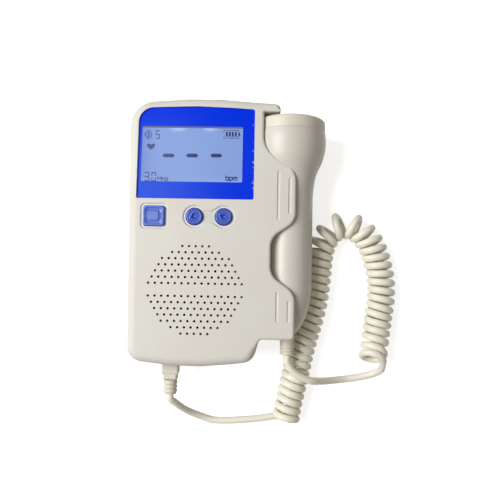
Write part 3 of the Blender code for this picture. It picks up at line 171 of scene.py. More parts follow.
# %% The curls
def curls():
    """A helix about the eased centre line: centre + radius * (cos(phase) * side + sin(phase)
    * down). The phase turns faster where the line is straight than in a bend, where the
    strands keep their spacing on the inner side. Returns the strand and its direction at
    both ends."""
    line = eased(smooth_line(coil_route + (0, 0, coil_height), 0.5 * mm), 10)
    run = distance_along(line)
    along = np.gradient(line, run, axis=0)
    along /= np.linalg.norm(along, axis=1)[:, None]
    bend = bend_room * np.linalg.norm(np.gradient(along, run, axis=0), axis=1)
    rate = (1 - bend * helix_radius) / strand_spacing
    turns = np.concatenate([[0], np.cumsum((rate[1:] + rate[:-1]) / 2 * np.diff(run))])
    part_turn = (start_phase - end_phase) / math.tau % 1
    total = math.floor(turns[-1] - part_turn) + part_turn
    picked = np.linspace(0, total, round(total * curl_steps) + 1)
    places = np.interp(picked, turns * total / turns[-1], run)
    centre, heading = sampled(line, run, places), sampled(along, run, places)
    side = np.cross(heading, (0, 0, 1))
    side /= np.linalg.norm(side, axis=1)[:, None]
    down = np.cross(heading, side)
    phase = (start_phase - math.tau * picked)[:, None]
    strand = centre + helix_radius * (np.cos(phase) * side + np.sin(phase) * down)
    around = math.tau * helix_radius * (np.sin(phase) * side - np.cos(phase) * down)
    way = around + strand_spacing * heading
    way /= np.linalg.norm(way, axis=1)[:, None]
    print(f"{total:.2f} curls, {len(strand)} points")
    return strand, way[0], way[-1]


strand, into_coil, out_of_coil = curls()


# %% Tubes and the ends of the cord
def evaluated_mesh(made):
    """A new mesh of what Blender shows for an object, modifiers included."""
    shown = made.evaluated_get(bpy.context.evaluated_depsgraph_get())
    return bpy.data.meshes.new_from_object(shown)


def cord_tube(name, points):
    """A round tube along one open line of points, made a mesh."""
    data = bpy.data.curves.new(name, "CURVE")
    data.dimensions = "3D"
    data.bevel_depth = 1.0
    data.bevel_resolution = 4
    data.use_fill_caps = True
    line = data.splines.new("POLY")
    line.points.add(len(points) - 1)
    line.points.foreach_set("co", np.column_stack([points, np.ones(len(points))]).ravel())
    line.points.foreach_set("radius", np.full(len(points), cord_diameter / 2))
    line.use_smooth = True
    guide = add_object(name + "_guide", data)
    tube = evaluated_mesh(guide)
    bpy.data.objects.remove(guide)
    return add_object(name, tube)


def free_stretch(start, route, end, last_way):
    """Straight out of its end for a little, through its route, and straight into the coil."""
    lead = cord_diameter * 0.7
    inner = np.vstack([start - (0, lead, 0), route, end - last_way * lead])
    return np.vstack([start, smooth_line(inner, 1.2 * mm, start, end), end])


# A free stretch starts a gap beyond its strain relief and stops a gap before the coil. The
# measures are the CAD model's, in mm: the unit's foot, then the plug's grip, neck and sleeve,
# and for the probe its top, length and sleeve.
gap, foot, grip, neck, plug_sleeve = 0.3, 67.2, 6.1, 2.8, 7.2
probe_reach, probe_body, probe_sleeve = 58.7, 110.1, 10.7
plug_start_y = -foot - gap - grip - neck - gap - plug_sleeve - gap
plug_start = np.array((-28.7, plug_start_y, 17.25)) * mm
probe_start = np.array((31.8, probe_reach - probe_body - probe_sleeve - gap, 19.8)) * mm
coil_start = strand[0] - into_coil * cord_diameter
coil_end = strand[-1] + out_of_coil * cord_diameter
print("coil from", (coil_start / mm).round(1), "to", (coil_end / mm).round(1))

# %% The three lengths of the cord
coil_points = np.vstack([coil_start, strand, coil_end])
plug_points = free_stretch(plug_start, plug_route, coil_start - into_coil * gap * mm, into_coil)
probe_points = free_stretch(
    probe_start, probe_route, coil_end + out_of_coil * gap * mm, -out_of_coil
)
coil_cord = cord_tube("curly_cord", coil_points)
plug_cord = cord_tube("plug_cord", plug_points)
probe_cord = cord_tube("probe_cord", probe_points)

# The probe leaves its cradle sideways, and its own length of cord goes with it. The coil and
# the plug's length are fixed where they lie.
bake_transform(coil_cord)
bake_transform(plug_cord)
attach(probe_cord, "probe")
for made, cad_node, points in (
    (coil_cord, "cord_coil", coil_points),
    (plug_cord, "cord_plug_stretch", plug_points),
    (probe_cord, "cord_probe_stretch", probe_points),
):
    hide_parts(cad_node)

# %% [markdown]
# ## Node materials
#
# Moulded plastic looks flat when it has one colour. Real mouldings have a fine spark-worn
# grain, a roughness that wanders with handling, and a faint change of colour over the
# piece. All three are noise textures on Object coordinates, at the size of the real thing.


# %% Helpers for materials
def linear(red, green, blue):
    """Screen colours, 0 to 255, as the linear values that shaders use."""
    share = np.array((red, green, blue)) / 255
    curve = np.where(share <= 0.04045, share / 12.92, ((share + 0.055) / 1.055) ** 2.4)
    return (*curve.tolist(), 1.0)


def new_material(name, colour, roughness, **sockets):
    made = bpy.data.materials.new(name)
    made.use_nodes = True
    shader = made.node_tree.nodes["Principled BSDF"]
    shader.inputs["Base Color"].default_value = linear(*colour)
    shader.inputs["Roughness"].default_value = roughness
    for socket, value in sockets.items():
        shader.inputs[socket.replace("_", " ")].default_value = value
    made.diffuse_color = linear(*colour)
    return made, made.node_tree, shader


def node(tree, kind, settings=(), **inputs):
    """Adds a node. An input goes by its name, or by its number as _0, and is a value or
    another node's output socket to link."""
    made = tree.nodes.new("ShaderNode" + kind)
    for name, value in dict(settings).items():
        setattr(made, name, value)
    for name, value in inputs.items():
        target = made.inputs[int(name[1:]) if name[1:].isdigit() else name.replace("_", " ")]
        if isinstance(value, bpy.types.NodeSocket):
            tree.links.new(value, target)
        else:
            target.default_value = value
    return made


def noise(tree, scale, detail=2.0, roughness=0.5, stretch=None):
    """Noise on the piece's own coordinates, in features per metre."""
    where = node(tree, "TexCoord").outputs["Object"]
    if stretch:
        where = node(tree, "Mapping", Vector=where, Scale=stretch).outputs["Vector"]
    return node(tree, "TexNoise", Vector=where, Scale=scale, Detail=detail, Roughness=roughness)


def between(tree, factor, low, high):
    """Maps a 0 to 1 factor onto a range."""
    return node(tree, "MapRange", Value=factor, To_Min=low, To_Max=high).outputs["Result"]


def ramp(tree, value, start, end, low=0.0, high=1.0):
    """A smooth step from one level to another between two places."""
    return node(
        tree, "MapRange", {"interpolation_type": "SMOOTHSTEP"}, Value=value,
        From_Min=start, From_Max=end, To_Min=low, To_Max=high,
    ).outputs["Result"]


def blended(tree, factor, first, second):
    """Two colours, or colour sockets, mixed by a factor."""
    return node(tree, "Mix", {"data_type": "RGBA"}, _0=factor, _6=first, _7=second).outputs[2]


def maths(tree, operation, first, second=0.0):
    return node(tree, "Math", {"operation": operation}, _0=first, _1=second).outputs[0]


def place(tree):
    """The piece's own X and Y."""
    split = node(tree, "SeparateXYZ", Vector=node(tree, "TexCoord").outputs["Object"])
    return split.outputs["X"], split.outputs["Y"]


def uneven_gloss(tree, shader, pattern, low, high):
    """The roughness wanders between two levels with a noise pattern."""
    roughness = between(tree, pattern.outputs["Fac"], low, high)
    tree.links.new(roughness, shader.inputs["Roughness"])


def retinted(finish, factor, colour):
    """Gives a finish another colour where the factor is 0, and leaves its own where it is 1."""
    tree = finish.node_tree
    socket = tree.nodes["Principled BSDF"].inputs["Base Color"]
    own = socket.links[0].from_socket
    tree.links.new(blended(tree, factor, linear(*colour), own), socket)


# %% Moulded plastic
def moulded(
    name, colour, roughness, grain=0.16, grain_scale=2600, mottle=0.03, gloss=0.5, warm=0.0,
    depth=0.05,
):
    """Grain by bump, a wandering roughness, and a colour that drifts by a few per cent."""
    made, tree, shader = new_material(name, colour, roughness, Specular_IOR_Level=gloss)
    drift = noise(tree, 32, 3.0)
    fine = noise(tree, 420, 4.0, 0.6)
    blend = node(tree, "MapRange", Value=drift.outputs["Fac"], From_Min=0.3, From_Max=0.7)
    base = np.array(linear(*colour)[:3])
    low = np.minimum(1, base * (1 - mottle) * (1 + warm, 1 - warm, 1 - warm / 2))
    high = np.minimum(1, base * (1 + mottle) * (1 - warm, 1 + warm, 1 + warm / 2))
    tint = blended(tree, blend.outputs["Result"], (*low.tolist(), 1), (*high.tolist(), 1))
    tree.links.new(tint, shader.inputs["Base Color"])
    uneven_gloss(tree, shader, fine, roughness - 0.07, roughness + 0.09)
    grit = noise(tree, grain_scale, 3.0, 0.65)
    bump = node(tree, "Bump", Strength=grain, Distance=depth * mm, Height=grit.outputs["Fac"])
    tree.links.new(bump.outputs["Normal"], shader.inputs["Normal"])
    return made


casing_finish = moulded(
    "casing_plastic", (227, 223, 215), 0.48,
    grain=0.9, grain_scale=1300, mottle=0.014, gloss=0.3, warm=0.012, depth=0.15,
)
# The recess floors' finish: polished, and lighter than the casing as painted light
polished_and_lit_finish = moulded("casing_polished_painted_light", (250, 248, 242), 0.25, grain=0.03, mottle=0.01)
cream_finish = moulded("cream_plastic", (230, 224, 208), 0.42, grain=0.1)
probe_finish = moulded("probe_plastic", (222, 217, 207), 0.36, grain=0.08, mottle=0.02)
cord_finish = moulded(
    "cord_jacket", (254, 249, 232), 0.34, grain=0.05, grain_scale=1800, mottle=0.02
)
key_finish = moulded(
    "key_plastic", (98, 128, 218), 0.3, grain=0.5, grain_scale=1500, mottle=0.08, gloss=0.7
)
black_finish = moulded("black_plastic", (38, 38, 40), 0.5)
face_finish = moulded("acoustic_plastic", (214, 206, 188), 0.3, grain=0.04)
print("mouldings ready")


# %% [markdown]
# ## Surfaces from arrays
#
# Every shape here is a grid of points: rings of equal count, stacked along a path. Index
# arithmetic turns the grid into faces, so no loop runs over points. Flat areas with holes
# in them, such as the front face, are filled by a constrained Delaunay triangulation.


# %% Grids, sheets and pieces
merge_distance = 1e-6


def lofted(rings, closed=False):
    """Rings of equal count joined into a skin, whose faces are the cells of a grid. With
    `closed` the last ring meets the first one again."""
    rings = np.asarray(rings, float)
    rows, columns = rings.shape[:2]
    row, column = np.meshgrid(
        np.arange(rows if closed else rows - 1), np.arange(columns), indexing="ij"
    )
    here, below = row * columns, (row + 1) % rows * columns
    right = (column + 1) % columns
    cells = np.stack((here + column, here + right, below + right, below + column), -1)
    return rings.reshape(-1, 3), cells.reshape(-1, 4).tolist()


def capped(ring):
    """One flat face across a ring."""
    return np.asarray(ring, float), [list(range(len(ring)))]


def flat_sheet(outer, holes, height):
    """Triangles between flat outlines, all at one height. A triangle is kept if a line from
    its middle to the right crosses the outlines an odd number of times."""
    rings = [np.asarray(ring)[:, :2] for ring in (outer, *holes)]
    ends = np.cumsum([len(ring) for ring in rings])
    numbers = [np.arange(end - len(ring), end) for ring, end in zip(rings, ends)]
    edges = np.vstack([np.column_stack([ring, np.roll(ring, -1)]) for ring in numbers])
    flat = [Vector(point) for point in np.vstack(rings)]
    points, _, faces, *_ = delaunay_2d_cdt(flat, edges.tolist(), [], 1, 1e-9)
    points, faces = np.array([tuple(point) for point in points]), np.array(faces)
    x, y = points[faces].mean(axis=1).T[:, :, None]
    (x_from, y_from), (x_to, y_to) = (np.vstack(rings)[edges[:, end]].T for end in (0, 1))
    spans = (y_from > y) != (y_to > y)
    crossing = x_from + (y - y_from) * (x_to - x_from) / np.where(y_to == y_from, 1, y_to - y_from)
    inside = (spans & (crossing > x)).sum(axis=1) % 2 == 1
    return np.column_stack([points, np.full(len(points), height)]), faces[inside].tolist()


def smooth_shading(mesh, sharp):
    """Smooth but for edges that turn by more than some degrees."""
    mesh.shade_smooth()
    mesh.set_sharp_from_angle(angle=math.radians(sharp))


def mesh_piece(name, parts, sharp=32, weld=True):
    """Joins (points, faces) parts into one mesh object, its seams merged and turned out."""
    starts = np.cumsum([0] + [len(points) for points, faces in parts[:-1]])
    points = np.vstack([points for points, faces in parts])
    faces = [
        [index + start for index in face]
        for (_, part), start in zip(parts, starts)
        for face in part
    ]
    mesh = bpy.data.meshes.new(name)
    mesh.from_pydata(points.tolist(), [], faces)
    if weld:
        shape = bmesh.new()
        shape.from_mesh(mesh)
        bmesh.ops.remove_doubles(shape, verts=shape.verts, dist=merge_distance)
        bmesh.ops.recalc_face_normals(shape, faces=shape.faces)
        shape.to_mesh(mesh)
        shape.free()
    smooth_shading(mesh, sharp)
    return add_object(name, mesh)


def rows_of(items, name):
    """One vector property of every vertex or face, as its x, y and z values."""
    values = np.empty(3 * len(items))
    items.foreach_get(name, values)
    return values.reshape(-1, 3).T


def dress(made, finish, body, stands_for):
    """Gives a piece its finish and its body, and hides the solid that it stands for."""
    made.data.materials.clear()
    made.data.materials.append(finish)
    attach(made, body)
    if stands_for:
        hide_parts(stands_for)
    print(f"{made.name}: {len(made.data.polygons)} faces")


# %% Outlines
def filleted(corners, arc_step=math.radians(6)):
    """Points round a polygon whose corners are arcs. A corner is (x, y, radius, edge round).
    On the arc a point is the arc's centre less radius * its inward normal. Returns the
    points, the inward normals and the edge rounds."""
    corners = np.asarray(corners, float)
    here = corners[:, :2]
    into = here - np.roll(here, 1, axis=0)
    into /= np.linalg.norm(into, axis=1)[:, None]
    out = np.roll(into, -1, axis=0)
    turns = np.arctan2(into[:, 0] * out[:, 1] - into[:, 1] * out[:, 0], (into * out).sum(1))
    points, normals, edges = [], [], []
    for (x, y, radius, edge), way, turn in zip(corners, into, turns):
        sweep = np.linspace(0, turn, max(3, math.ceil(abs(turn) / arc_step) + 1))
        side = math.copysign(1, turn)
        first = np.array((-way[1], way[0]))
        start = np.array((x, y)) - way * radius * math.tan(abs(turn) / 2)
        centre = start + first * radius * side
        cosine, sine = np.cos(sweep), np.sin(sweep)
        turned = np.column_stack(
            [first[0] * cosine - first[1] * sine, first[0] * sine + first[1] * cosine]
        )
        points.append(centre - turned * radius * side)
        normals.append(turned)
        edges.append(np.full(len(sweep), edge))
    return np.vstack(points), np.vstack(normals), np.concatenate(edges)


def plain(corners, radius):
    """A polygon with one radius at all its corners, as points and inward normals."""
    points, normals, _ = filleted([(x, y, radius, 0) for x, y in corners])
    return points, normals


def rectangle(left, bottom, right, top, radius):
    return plain([(left, bottom), (right, bottom), (right, top), (left, top)], radius)


def centred(x, y, half_x, half_y, radius):
    """A rounded rectangle about its middle."""
    return rectangle(x - half_x, y - half_y, x + half_x, y + half_y, radius)


def circle(x, y, radius, count):
    angle = np.arange(count) / count * math.tau
    spokes = np.column_stack([np.cos(angle), np.sin(angle)])
    return np.array((x, y)) + radius * spokes, -spokes


def ring_at(outline, out_by, height):
    """The outline moved out along its normals, and lifted to a height."""
    points, normals = outline[:2]
    out_by = np.broadcast_to(np.asarray(out_by, float), len(points))[:, None]
    height = np.broadcast_to(np.asarray(height, float), len(points))
    return np.column_stack([points - normals * out_by, height])


# %% [markdown]
# ## The casing
#
# The main unit is two mouldings that meet half way up its side. Seen from the front, the
# outline has a bowed top and foot, a large corner at the upper left, and on the right the
# S-shaped edge of the cradle with its finger notch. A Bevel could round it, but its width
# differs from place to place: wide round the outside, narrow along the cradle. So the edge
# round is a quarter circle carried round the outline, with its size stored at each corner.

# %% The unit's measures
half_length = 67.2 * mm
thickness = 34.5 * mm
left_x, axis_x, axis_z = -50.4 * mm, 31.8 * mm, 19.8 * mm
crown, edge_round, small_round = 2.9 * mm, 4.5 * mm, 1.3 * mm
side_taper, top_lean, bow_share = 1.8 * mm, 0.7 * mm, 0.66
casing_wall, front_wall, floor_wall = 2.2 * mm, 2.5 * mm, 2.4 * mm
split_z, half_gap = thickness / 2, 0.15 * mm
front_seam_z, rear_seam_z = split_z + half_gap, split_z - half_gap
ceiling_z = thickness - front_wall
foot_y = -half_length + crown
probe_top, probe_length = half_length - 8.5 * mm, 110.1 * mm
clip_top_y = probe_top - 0.2425 * probe_length
shoulder_y = half_length - 7 * mm
head_radius, handle_radius, channel_room = 18.6 * mm, 12.2 * mm, 0.45 * mm
foot_x, step_x, clip_reach = axis_x - 17.6 * mm, axis_x - 14.6 * mm, 2.6 * mm
left_foot, left_top = left_x + side_taper, left_x + top_lean
socket_x, jack_x = left_x + 21.7 * mm, left_x + 33.5 * mm


def cradle_y(share):
    """A place along the cradle, from 0 at the unit's foot to 1 at the top of the clips."""
    return -half_length + share * (clip_top_y + half_length)


step_y = cradle_y(0.1443)


def bow(span, height):
    """How far a bowed edge's corner stands out, and its radius, so that the arc across the
    corner just reaches the height."""
    rise = height / (1 - bow_share / 2)
    return rise, bow_share * span / math.sin(math.atan(rise / span))


# %% The unit's outline and its hollow
def bowed(left, right, outer):
    """The middle corner of a bowed edge, whose arc just reaches `outer`."""
    rise, radius = bow((right - left) / 2, crown)
    way = math.copysign(1, outer)
    return ((left + right) / 2, outer + way * (rise - crown), radius, edge_round)


def unit_corners(clip_inset=0.0):
    """Corners from the lower left round, as (x, y, radius, edge round)."""
    top, small = half_length - crown, small_round
    clip_x, notch_x = axis_x + clip_reach - clip_inset, axis_x - 9.6 * mm
    head_x, shoulder_x = axis_x - 13.9 * mm, axis_x - 5.7 * mm
    return [
        (left_foot, foot_y, 7.8 * mm, edge_round),
        bowed(left_foot, foot_x, -half_length),
        (foot_x, foot_y, 7 * mm, edge_round * 0.9),
        (step_x, step_y, 2 * mm, small),
        (clip_x, step_y, 2.2 * mm, small),
        (clip_x, cradle_y(0.377), 8.8 * mm, small),
        (notch_x, cradle_y(0.4617), 8.8 * mm, small),
        (notch_x, cradle_y(0.6517), 8.8 * mm, small),
        (clip_x, cradle_y(0.7313), 8.8 * mm, small),
        (clip_x, clip_top_y, 11.5 * mm, small),
        (head_x, probe_top - 0.1594 * probe_length, 11.5 * mm, small),
        (head_x, shoulder_y, 0.6 * mm, small),
        (shoulder_x, shoulder_y, 0.6 * mm, 0.48 * mm),
        (shoulder_x, top, 2.8 * mm, 2.38 * mm),
        bowed(left_top, shoulder_x, half_length),
        (left_top, top, 12.5 * mm, edge_round),
    ]


def cavity():
    """The hollow inside, clear of the probe's channel by a wall."""
    wall, top = casing_wall, half_length - crown - casing_wall
    handle_x = axis_x - handle_radius - channel_room - wall
    head_x = axis_x - head_radius - channel_room - wall
    corners = [
        (left_foot + wall, foot_y + wall, 5.6 * mm, 0),
        (foot_x - wall, foot_y + wall, 4.8 * mm, 0),
        (step_x - wall, step_y, 2 * mm, 0),
        (handle_x, step_y + wall * 2, 2 * mm, 0),
        (handle_x, probe_top - 0.3102 * probe_length, 8.8 * mm, 0),
        (head_x, probe_top - 0.1533 * probe_length, 8.8 * mm, 0),
        (head_x, top, 0.6 * mm, 0),
        (left_top + wall, top, 10.3 * mm, 0),
    ]
    return filleted(corners, math.radians(15))


print(f"unit {2 * half_length / mm:.1f} mm long, {thickness / mm:.1f} mm thick")


# %% The outer skin of one half
def outer_skin(corners, seam_z, face_z):
    """From the seam up the wall and round the edge. On the edge round, with angle a from 0 to
    90 degrees, a point lies edge * (1 - cos a) in and edge * (1 - sin a) below the face."""
    outline, seam_round = filleted(corners), 0.25 * mm
    edge, way = outline[2], math.copysign(1, face_z - seam_z)
    rings = [
        ring_at(outline, -seam_round, seam_z), ring_at(outline, 0, seam_z + way * seam_round)
    ]
    for angle in np.linspace(0, math.pi / 2, 10):
        height = face_z - way * edge * (1 - math.sin(angle))
        rings.append(ring_at(outline, -edge * (1 - math.cos(angle)), height))
    return [*rings, ring_at(outline, -edge - 0.05 * mm, face_z)]


front_rings = outer_skin(unit_corners(), front_seam_z, thickness)
rear_rings = outer_skin(unit_corners(clip_reach), rear_seam_z, 0.0)
print(f"outline of {len(front_rings[0])} points")

# %% [markdown]
# ## What is let into the front face
#
# The window, the two key recesses, the grip lines and the speaker's holes are each an
# outline with a profile swept round it: over a soft lip, down a wall, and on to a floor or
# right through. The lip is what catches the light, and without it a moulding looks cut
# with a knife.

# %% Places of the openings
grille_radius = 25
speaker_x, speaker_y = left_x + 35.55 * mm, -half_length + (13.16 + grille_radius) * mm
key_y = speaker_y + (grille_radius + 11.25) * mm
power_x, up_x, down_x = left_x + 14.4 * mm, left_x + 34.5 * mm, left_x + 49 * mm
window_left, window_right = left_x + 6 * mm, left_x + 63.7 * mm
window_low, window_high = key_y + 8.79 * mm, half_length - 6.2 * mm
view_left, view_right = left_x + 7.6 * mm, left_x + 57.8 * mm
view_low, view_high = window_low + 8.56 * mm, window_high - 8.54 * mm


def window_outline(shrink=0.0):
    """Its top bows out, its upper left corner is large, and its left side leans."""
    left, right = window_left + shrink, window_right - shrink
    low, high = window_low + shrink, window_high - shrink
    rise, radius = bow((right - left) / 2, 1.3 * mm)
    corner, lean = 0.8 * mm, 0.6 * mm
    return filleted(
        [
            (left - lean, low, corner, 0), (right, low, corner, 0), (right, high, corner, 0),
            ((left + right) / 2, high + rise, radius, 0), (left, high, 7.5 * mm - shrink, 0),
        ]
    )[:2]


def waisted_outline():
    """Two circles joined by two arcs that bend in between them."""
    radius, waist = 5.5 * mm, 2.85 * mm
    middle, half_span = (up_x + down_x) / 2, (down_x - up_x) / 2
    bend = (half_span**2 + waist**2 - radius**2) / (2 * (radius - waist))
    lean = math.asin(half_span / (radius + bend))
    round_angle = np.linspace(-math.pi / 2 - lean, math.pi / 2 + lean, 40)
    neck_angle = np.linspace(-math.pi / 2 + lean, -math.pi / 2 - lean, 12)[1:-1]
    right = np.column_stack([np.cos(round_angle), np.sin(round_angle)])
    neck = np.column_stack([np.cos(neck_angle), np.sin(neck_angle)])
    points = np.vstack(
        [
            (down_x, key_y) + radius * right,
            (middle, key_y + waist + bend) + bend * neck,
            (up_x, key_y) - radius * right,
            (middle, key_y - waist - bend) - bend * neck,
        ]
    )
    return points, np.vstack([-right, neck, right, -neck])


print(f"window {(window_right - window_left) / mm:.1f} x {(window_high - window_low) / mm:.1f} mm")


# %% Sunk features as stacks of rings
# A narrow flat collar round each feature keeps the shading of the face beside it flat
collar = 0.04 * mm


def dished(outline, reach, top, floor, steps=7):
    """An S-shaped slope down to a floor: height follows half a cosine across the slope."""
    drop = top - floor
    rings = [
        ring_at(outline, reach * (1 - 2 * s), floor + drop * (1 + math.cos(math.pi * s)) / 2)
        for s in np.linspace(0, 1, steps)
    ]
    return [ring_at(outline, reach + collar, top), *rings, ring_at(outline, -reach - collar, floor)]


recess_z, window_z = thickness - 0.6 * mm, thickness - 1.5 * mm
recess_slope, view_room = 0.48 * mm, 0.6 * mm
view_way = rectangle(
    view_left - 1 * mm, view_low - view_room, view_right + view_room, view_high + view_room,
    0.8 * mm,
)
power_recess = dished(
    centred(power_x, key_y, 6.5 * mm, 6.15 * mm, 2.1 * mm), recess_slope, thickness, recess_z
)
volume_recess = dished(waisted_outline(), recess_slope, thickness, recess_z)
power_way = centred(power_x, key_y, 5.6 * mm, 5.25 * mm, 1.5 * mm)
up_way, down_way = (circle(x, key_y, 4.5 * mm, 48) for x in (up_x, down_x))


# %% Grip lines and the speaker's holes
def grip_line(setback, low, high):
    """A shallow groove with round ends, on a clip: set back from the probe's axis, and from
    one place along the cradle to another."""
    x, half_width = axis_x - setback, 0.55 * mm
    return rectangle(x - half_width, cradle_y(low), x + half_width, cradle_y(high), 0.45 * mm)


groove_floor, groove_slope = thickness - 0.5 * mm, 0.22 * mm
grooves = [
    dished(grip_line(setback * mm, low, high), groove_slope, thickness, groove_floor, 6)
    for setback, low, high in (
        (6.2, 0.7423, 0.9829), (0.6, 0.7724, 0.9501), (6.2, 0.2325, 0.38), (0.6, 0.2325, 0.3378),
    )
]

# Fourteen rows of holes, with the number in each from the outside in, and their pitches in mm
hole_pitch, row_pitch, first_row = 3.3, 3.06, 3.15
hole_places = np.array(
    [
        (
            speaker_x + (place - (count - 1) / 2) * hole_pitch * mm,
            speaker_y + way * (first_row + (6 - row) * row_pitch) * mm,
        )
        for way in (1, -1)
        for row, count in enumerate((5, 8, 11, 12, 13, 14, 15))
        for place in range(count)
    ]
)
holes = [circle(x, y, 0.6 * mm, 12) for x, y in hole_places]
hole_steps = ((0.16, 0), (0.12, 0), (0.03, 0.05), (0, 0.16), (0, 2.5))
hole_rings = [
    [ring_at(hole, out * mm, thickness - down * mm) for out, down in hole_steps]
    for hole in holes
]
print(f"{len(holes)} holes over the speaker, {len(grooves)} grip lines")

# %% [markdown]
# ## The cradle
#
# The probe lies in a channel of its own shape. A moulder would cut that channel as one
# smooth core, and so does this lesson: the probe's profile, made wider by the clearance,
# is lofted into a cutter, half round towards the unit and open to the right. A Boolean
# takes it, the battery bay and the socket's opening out of the finished shells.

# %% The probe's profile
# Places are shares of the probe's length from its top; a swell of 1 is the whole radius
cap_share, handle_start, handle_end = 0.0584, 0.38, 0.77
head_places = np.array(
    (cap_share, 0.0912, 0.1232, 0.1533, 0.1825, 0.2099, 0.2372, 0.2692, 0.3102, 0.365)
)
head_swell = np.array((0.962, 1, 0.985, 0.894, 0.773, 0.576, 0.356, 0.182, 0.076, 0))
tip_places = np.array((0.7847, 0.8303, 0.8759, 0.9215, 0.958, 0.9854, 1))
tip_swell = np.array((1, 0.965, 0.885, 0.765, 0.62, 0.455, 0.35))


def smooth_through(x, y, at):
    """A cubic between each two points. Its slope at a point is the harmonic mean of the
    slopes on both sides, or level at a peak, so that the line never swings past a point."""
    rise = np.diff(y) / np.diff(x)
    same = rise[1:] * rise[:-1] > 0
    mean = 2 * rise[1:] * rise[:-1] / np.where(same, rise[1:] + rise[:-1], 1)
    slope = np.concatenate([rise[:1], np.where(same, mean, 0), rise[-1:]])
    place = np.clip(np.searchsorted(x, at, side="right") - 1, 0, len(x) - 2)
    step = np.diff(x)[place]
    t = (at - x[place]) / step
    low = y[place] * (1 + 2 * t) * (1 - t) ** 2 + step * slope[place] * t * (1 - t) ** 2
    return low + y[place + 1] * t**2 * (3 - 2 * t) - step * slope[place + 1] * t**2 * (1 - t)


def probe_radius(share):
    """The handle's radius, swollen towards the head and drawn in towards the tip."""
    head = handle_radius + (head_radius - handle_radius) * head_swell
    places = np.concatenate([head_places, tip_places])
    return smooth_through(places, np.concatenate([head, handle_radius * tip_swell]), share)


profile_shares = np.concatenate(
    [
        np.linspace(cap_share, handle_start, 60)[:-1],
        np.linspace(handle_start, handle_end, 8)[:-1],
        np.linspace(handle_end, 1, 40),
    ]
)
profile_y = probe_top - probe_length * profile_shares
profile_radius = probe_radius(profile_shares)
print(f"probe {2 * profile_radius.max() / mm:.1f} mm across its head")


# %% Cutters and how they are used
# A cutter that opens the foot or the back starts this far outside it
outside_y, outside_z = -half_length - 2 * mm, -2 * mm


def solid(name, rings):
    """A stack of rings with both its ends closed."""
    return mesh_piece(name, [lofted(rings), capped(rings[0]), capped(rings[-1])])


def along_y(rings):
    """Turns outlines drawn across and up, stacked along Y."""
    return np.asarray(rings)[..., [0, 2, 1]]


def block(left, bottom, right, top, low, high):
    """A plain box, for cutting."""
    outline = rectangle(left, bottom, right, top, 0.02 * mm)
    return [ring_at(outline, 0, low), ring_at(outline, 0, high)]


def carve(made, cutters, operation="DIFFERENCE", sharp=32):
    """Takes closed cutters from a piece, or adds them, and keeps the outcome as its mesh."""
    for cutter in cutters:
        step = made.modifiers.new("carve", "BOOLEAN")
        step.object, step.operation, step.solver = cutter, operation, "EXACT"
    result = evaluated_mesh(made)
    made.modifiers.clear()
    made.data = result
    smooth_shading(result, sharp)
    for cutter in cutters:
        bpy.data.objects.remove(cutter)


def even_shading(made):
    """Large flat faces decide the shading, so that they stay flat next to a round edge."""
    steady = made.modifiers.new("even_shading", "WEIGHTED_NORMAL")
    steady.keep_sharp = True
    return made


def channel(name):
    """At each height the ring is a half circle round the probe's axis and a box to its
    right. The channel runs past the probe at both its ends."""
    past_tip = min(step_y, profile_y[-1]) - 4 * mm
    y = np.concatenate([[shoulder_y - 0.3 * mm], profile_y, [past_tip]])
    radius = np.concatenate([profile_radius[:1], profile_radius, profile_radius[-1:]])
    radius += channel_room
    angle = np.linspace(math.pi / 2, 1.5 * math.pi, 73)
    across = np.cos(angle) * radius[:, None]
    up = np.sin(angle) * radius[:, None]
    open_side = np.full((len(y), 1), 2 * head_radius)
    across = np.hstack([across, open_side, open_side])
    up = np.hstack([up, -radius[:, None], radius[:, None]])
    rings = np.stack([axis_x + across, np.broadcast_to(y[:, None], across.shape), axis_z + up], -1)
    return solid(name, rings)


def foot_ways(name):
    """Openings at the foot for the plug's socket and for the headphone jack."""
    ways = (
        ("_socket_way", centred(socket_x, split_z, 5 * mm, 3.9 * mm, 0.4 * mm), 11.1 * mm),
        ("_jack_way", circle(jack_x, split_z, 3.1 * mm, 40), 5.4 * mm),
    )
    return [
        solid(
            name + kind,
            along_y([ring_at(way, 0, outside_y), ring_at(way, 0, -half_length + depth)]),
        )
        for kind, way, depth in ways
    ]


print("cutters ready")

# %% The front half
inner = cavity()
through = [power_way, up_way, down_way]
sunk = [power_recess, volume_recess, *grooves, *hole_rings]
face_holes = [way[0] for way in through + holes]
front_parts = [
    lofted(front_rings),
    flat_sheet(front_rings[-1], [rings[0] for rings in sunk], thickness),
    flat_sheet(power_recess[-1], [power_way[0]], recess_z),
    flat_sheet(volume_recess[-1], [up_way[0], down_way[0]], recess_z),
    flat_sheet(inner[0], face_holes, ceiling_z),
    lofted([ring_at(inner, 0, ceiling_z), ring_at(inner, 0, front_seam_z)]),
    flat_sheet(front_rings[0], [inner[0]], front_seam_z),
    *[lofted(rings) for rings in sunk],
    *[capped(rings[-1]) for rings in grooves],
    *[lofted([ring_at(way, 0, recess_z), ring_at(way, 0, ceiling_z)]) for way in through],
]
front_casing = mesh_piece("front_casing", front_parts)
window_cut = window_outline()
window_steps = [(0, window_z), (0, thickness - 0.15 * mm), (1 * mm, thickness + 0.85 * mm)]
carve(
    front_casing,
    [
        solid("window_recess", [ring_at(window_cut, out, height) for out, height in window_steps]),
        solid("view_way", [ring_at(view_way, 0, z) for z in (ceiling_z - 1 * mm, thickness)]),
        channel("front_channel"),
        *foot_ways("front"),
    ],
)
dress(even_shading(front_casing), casing_finish, "root", "front_shell")
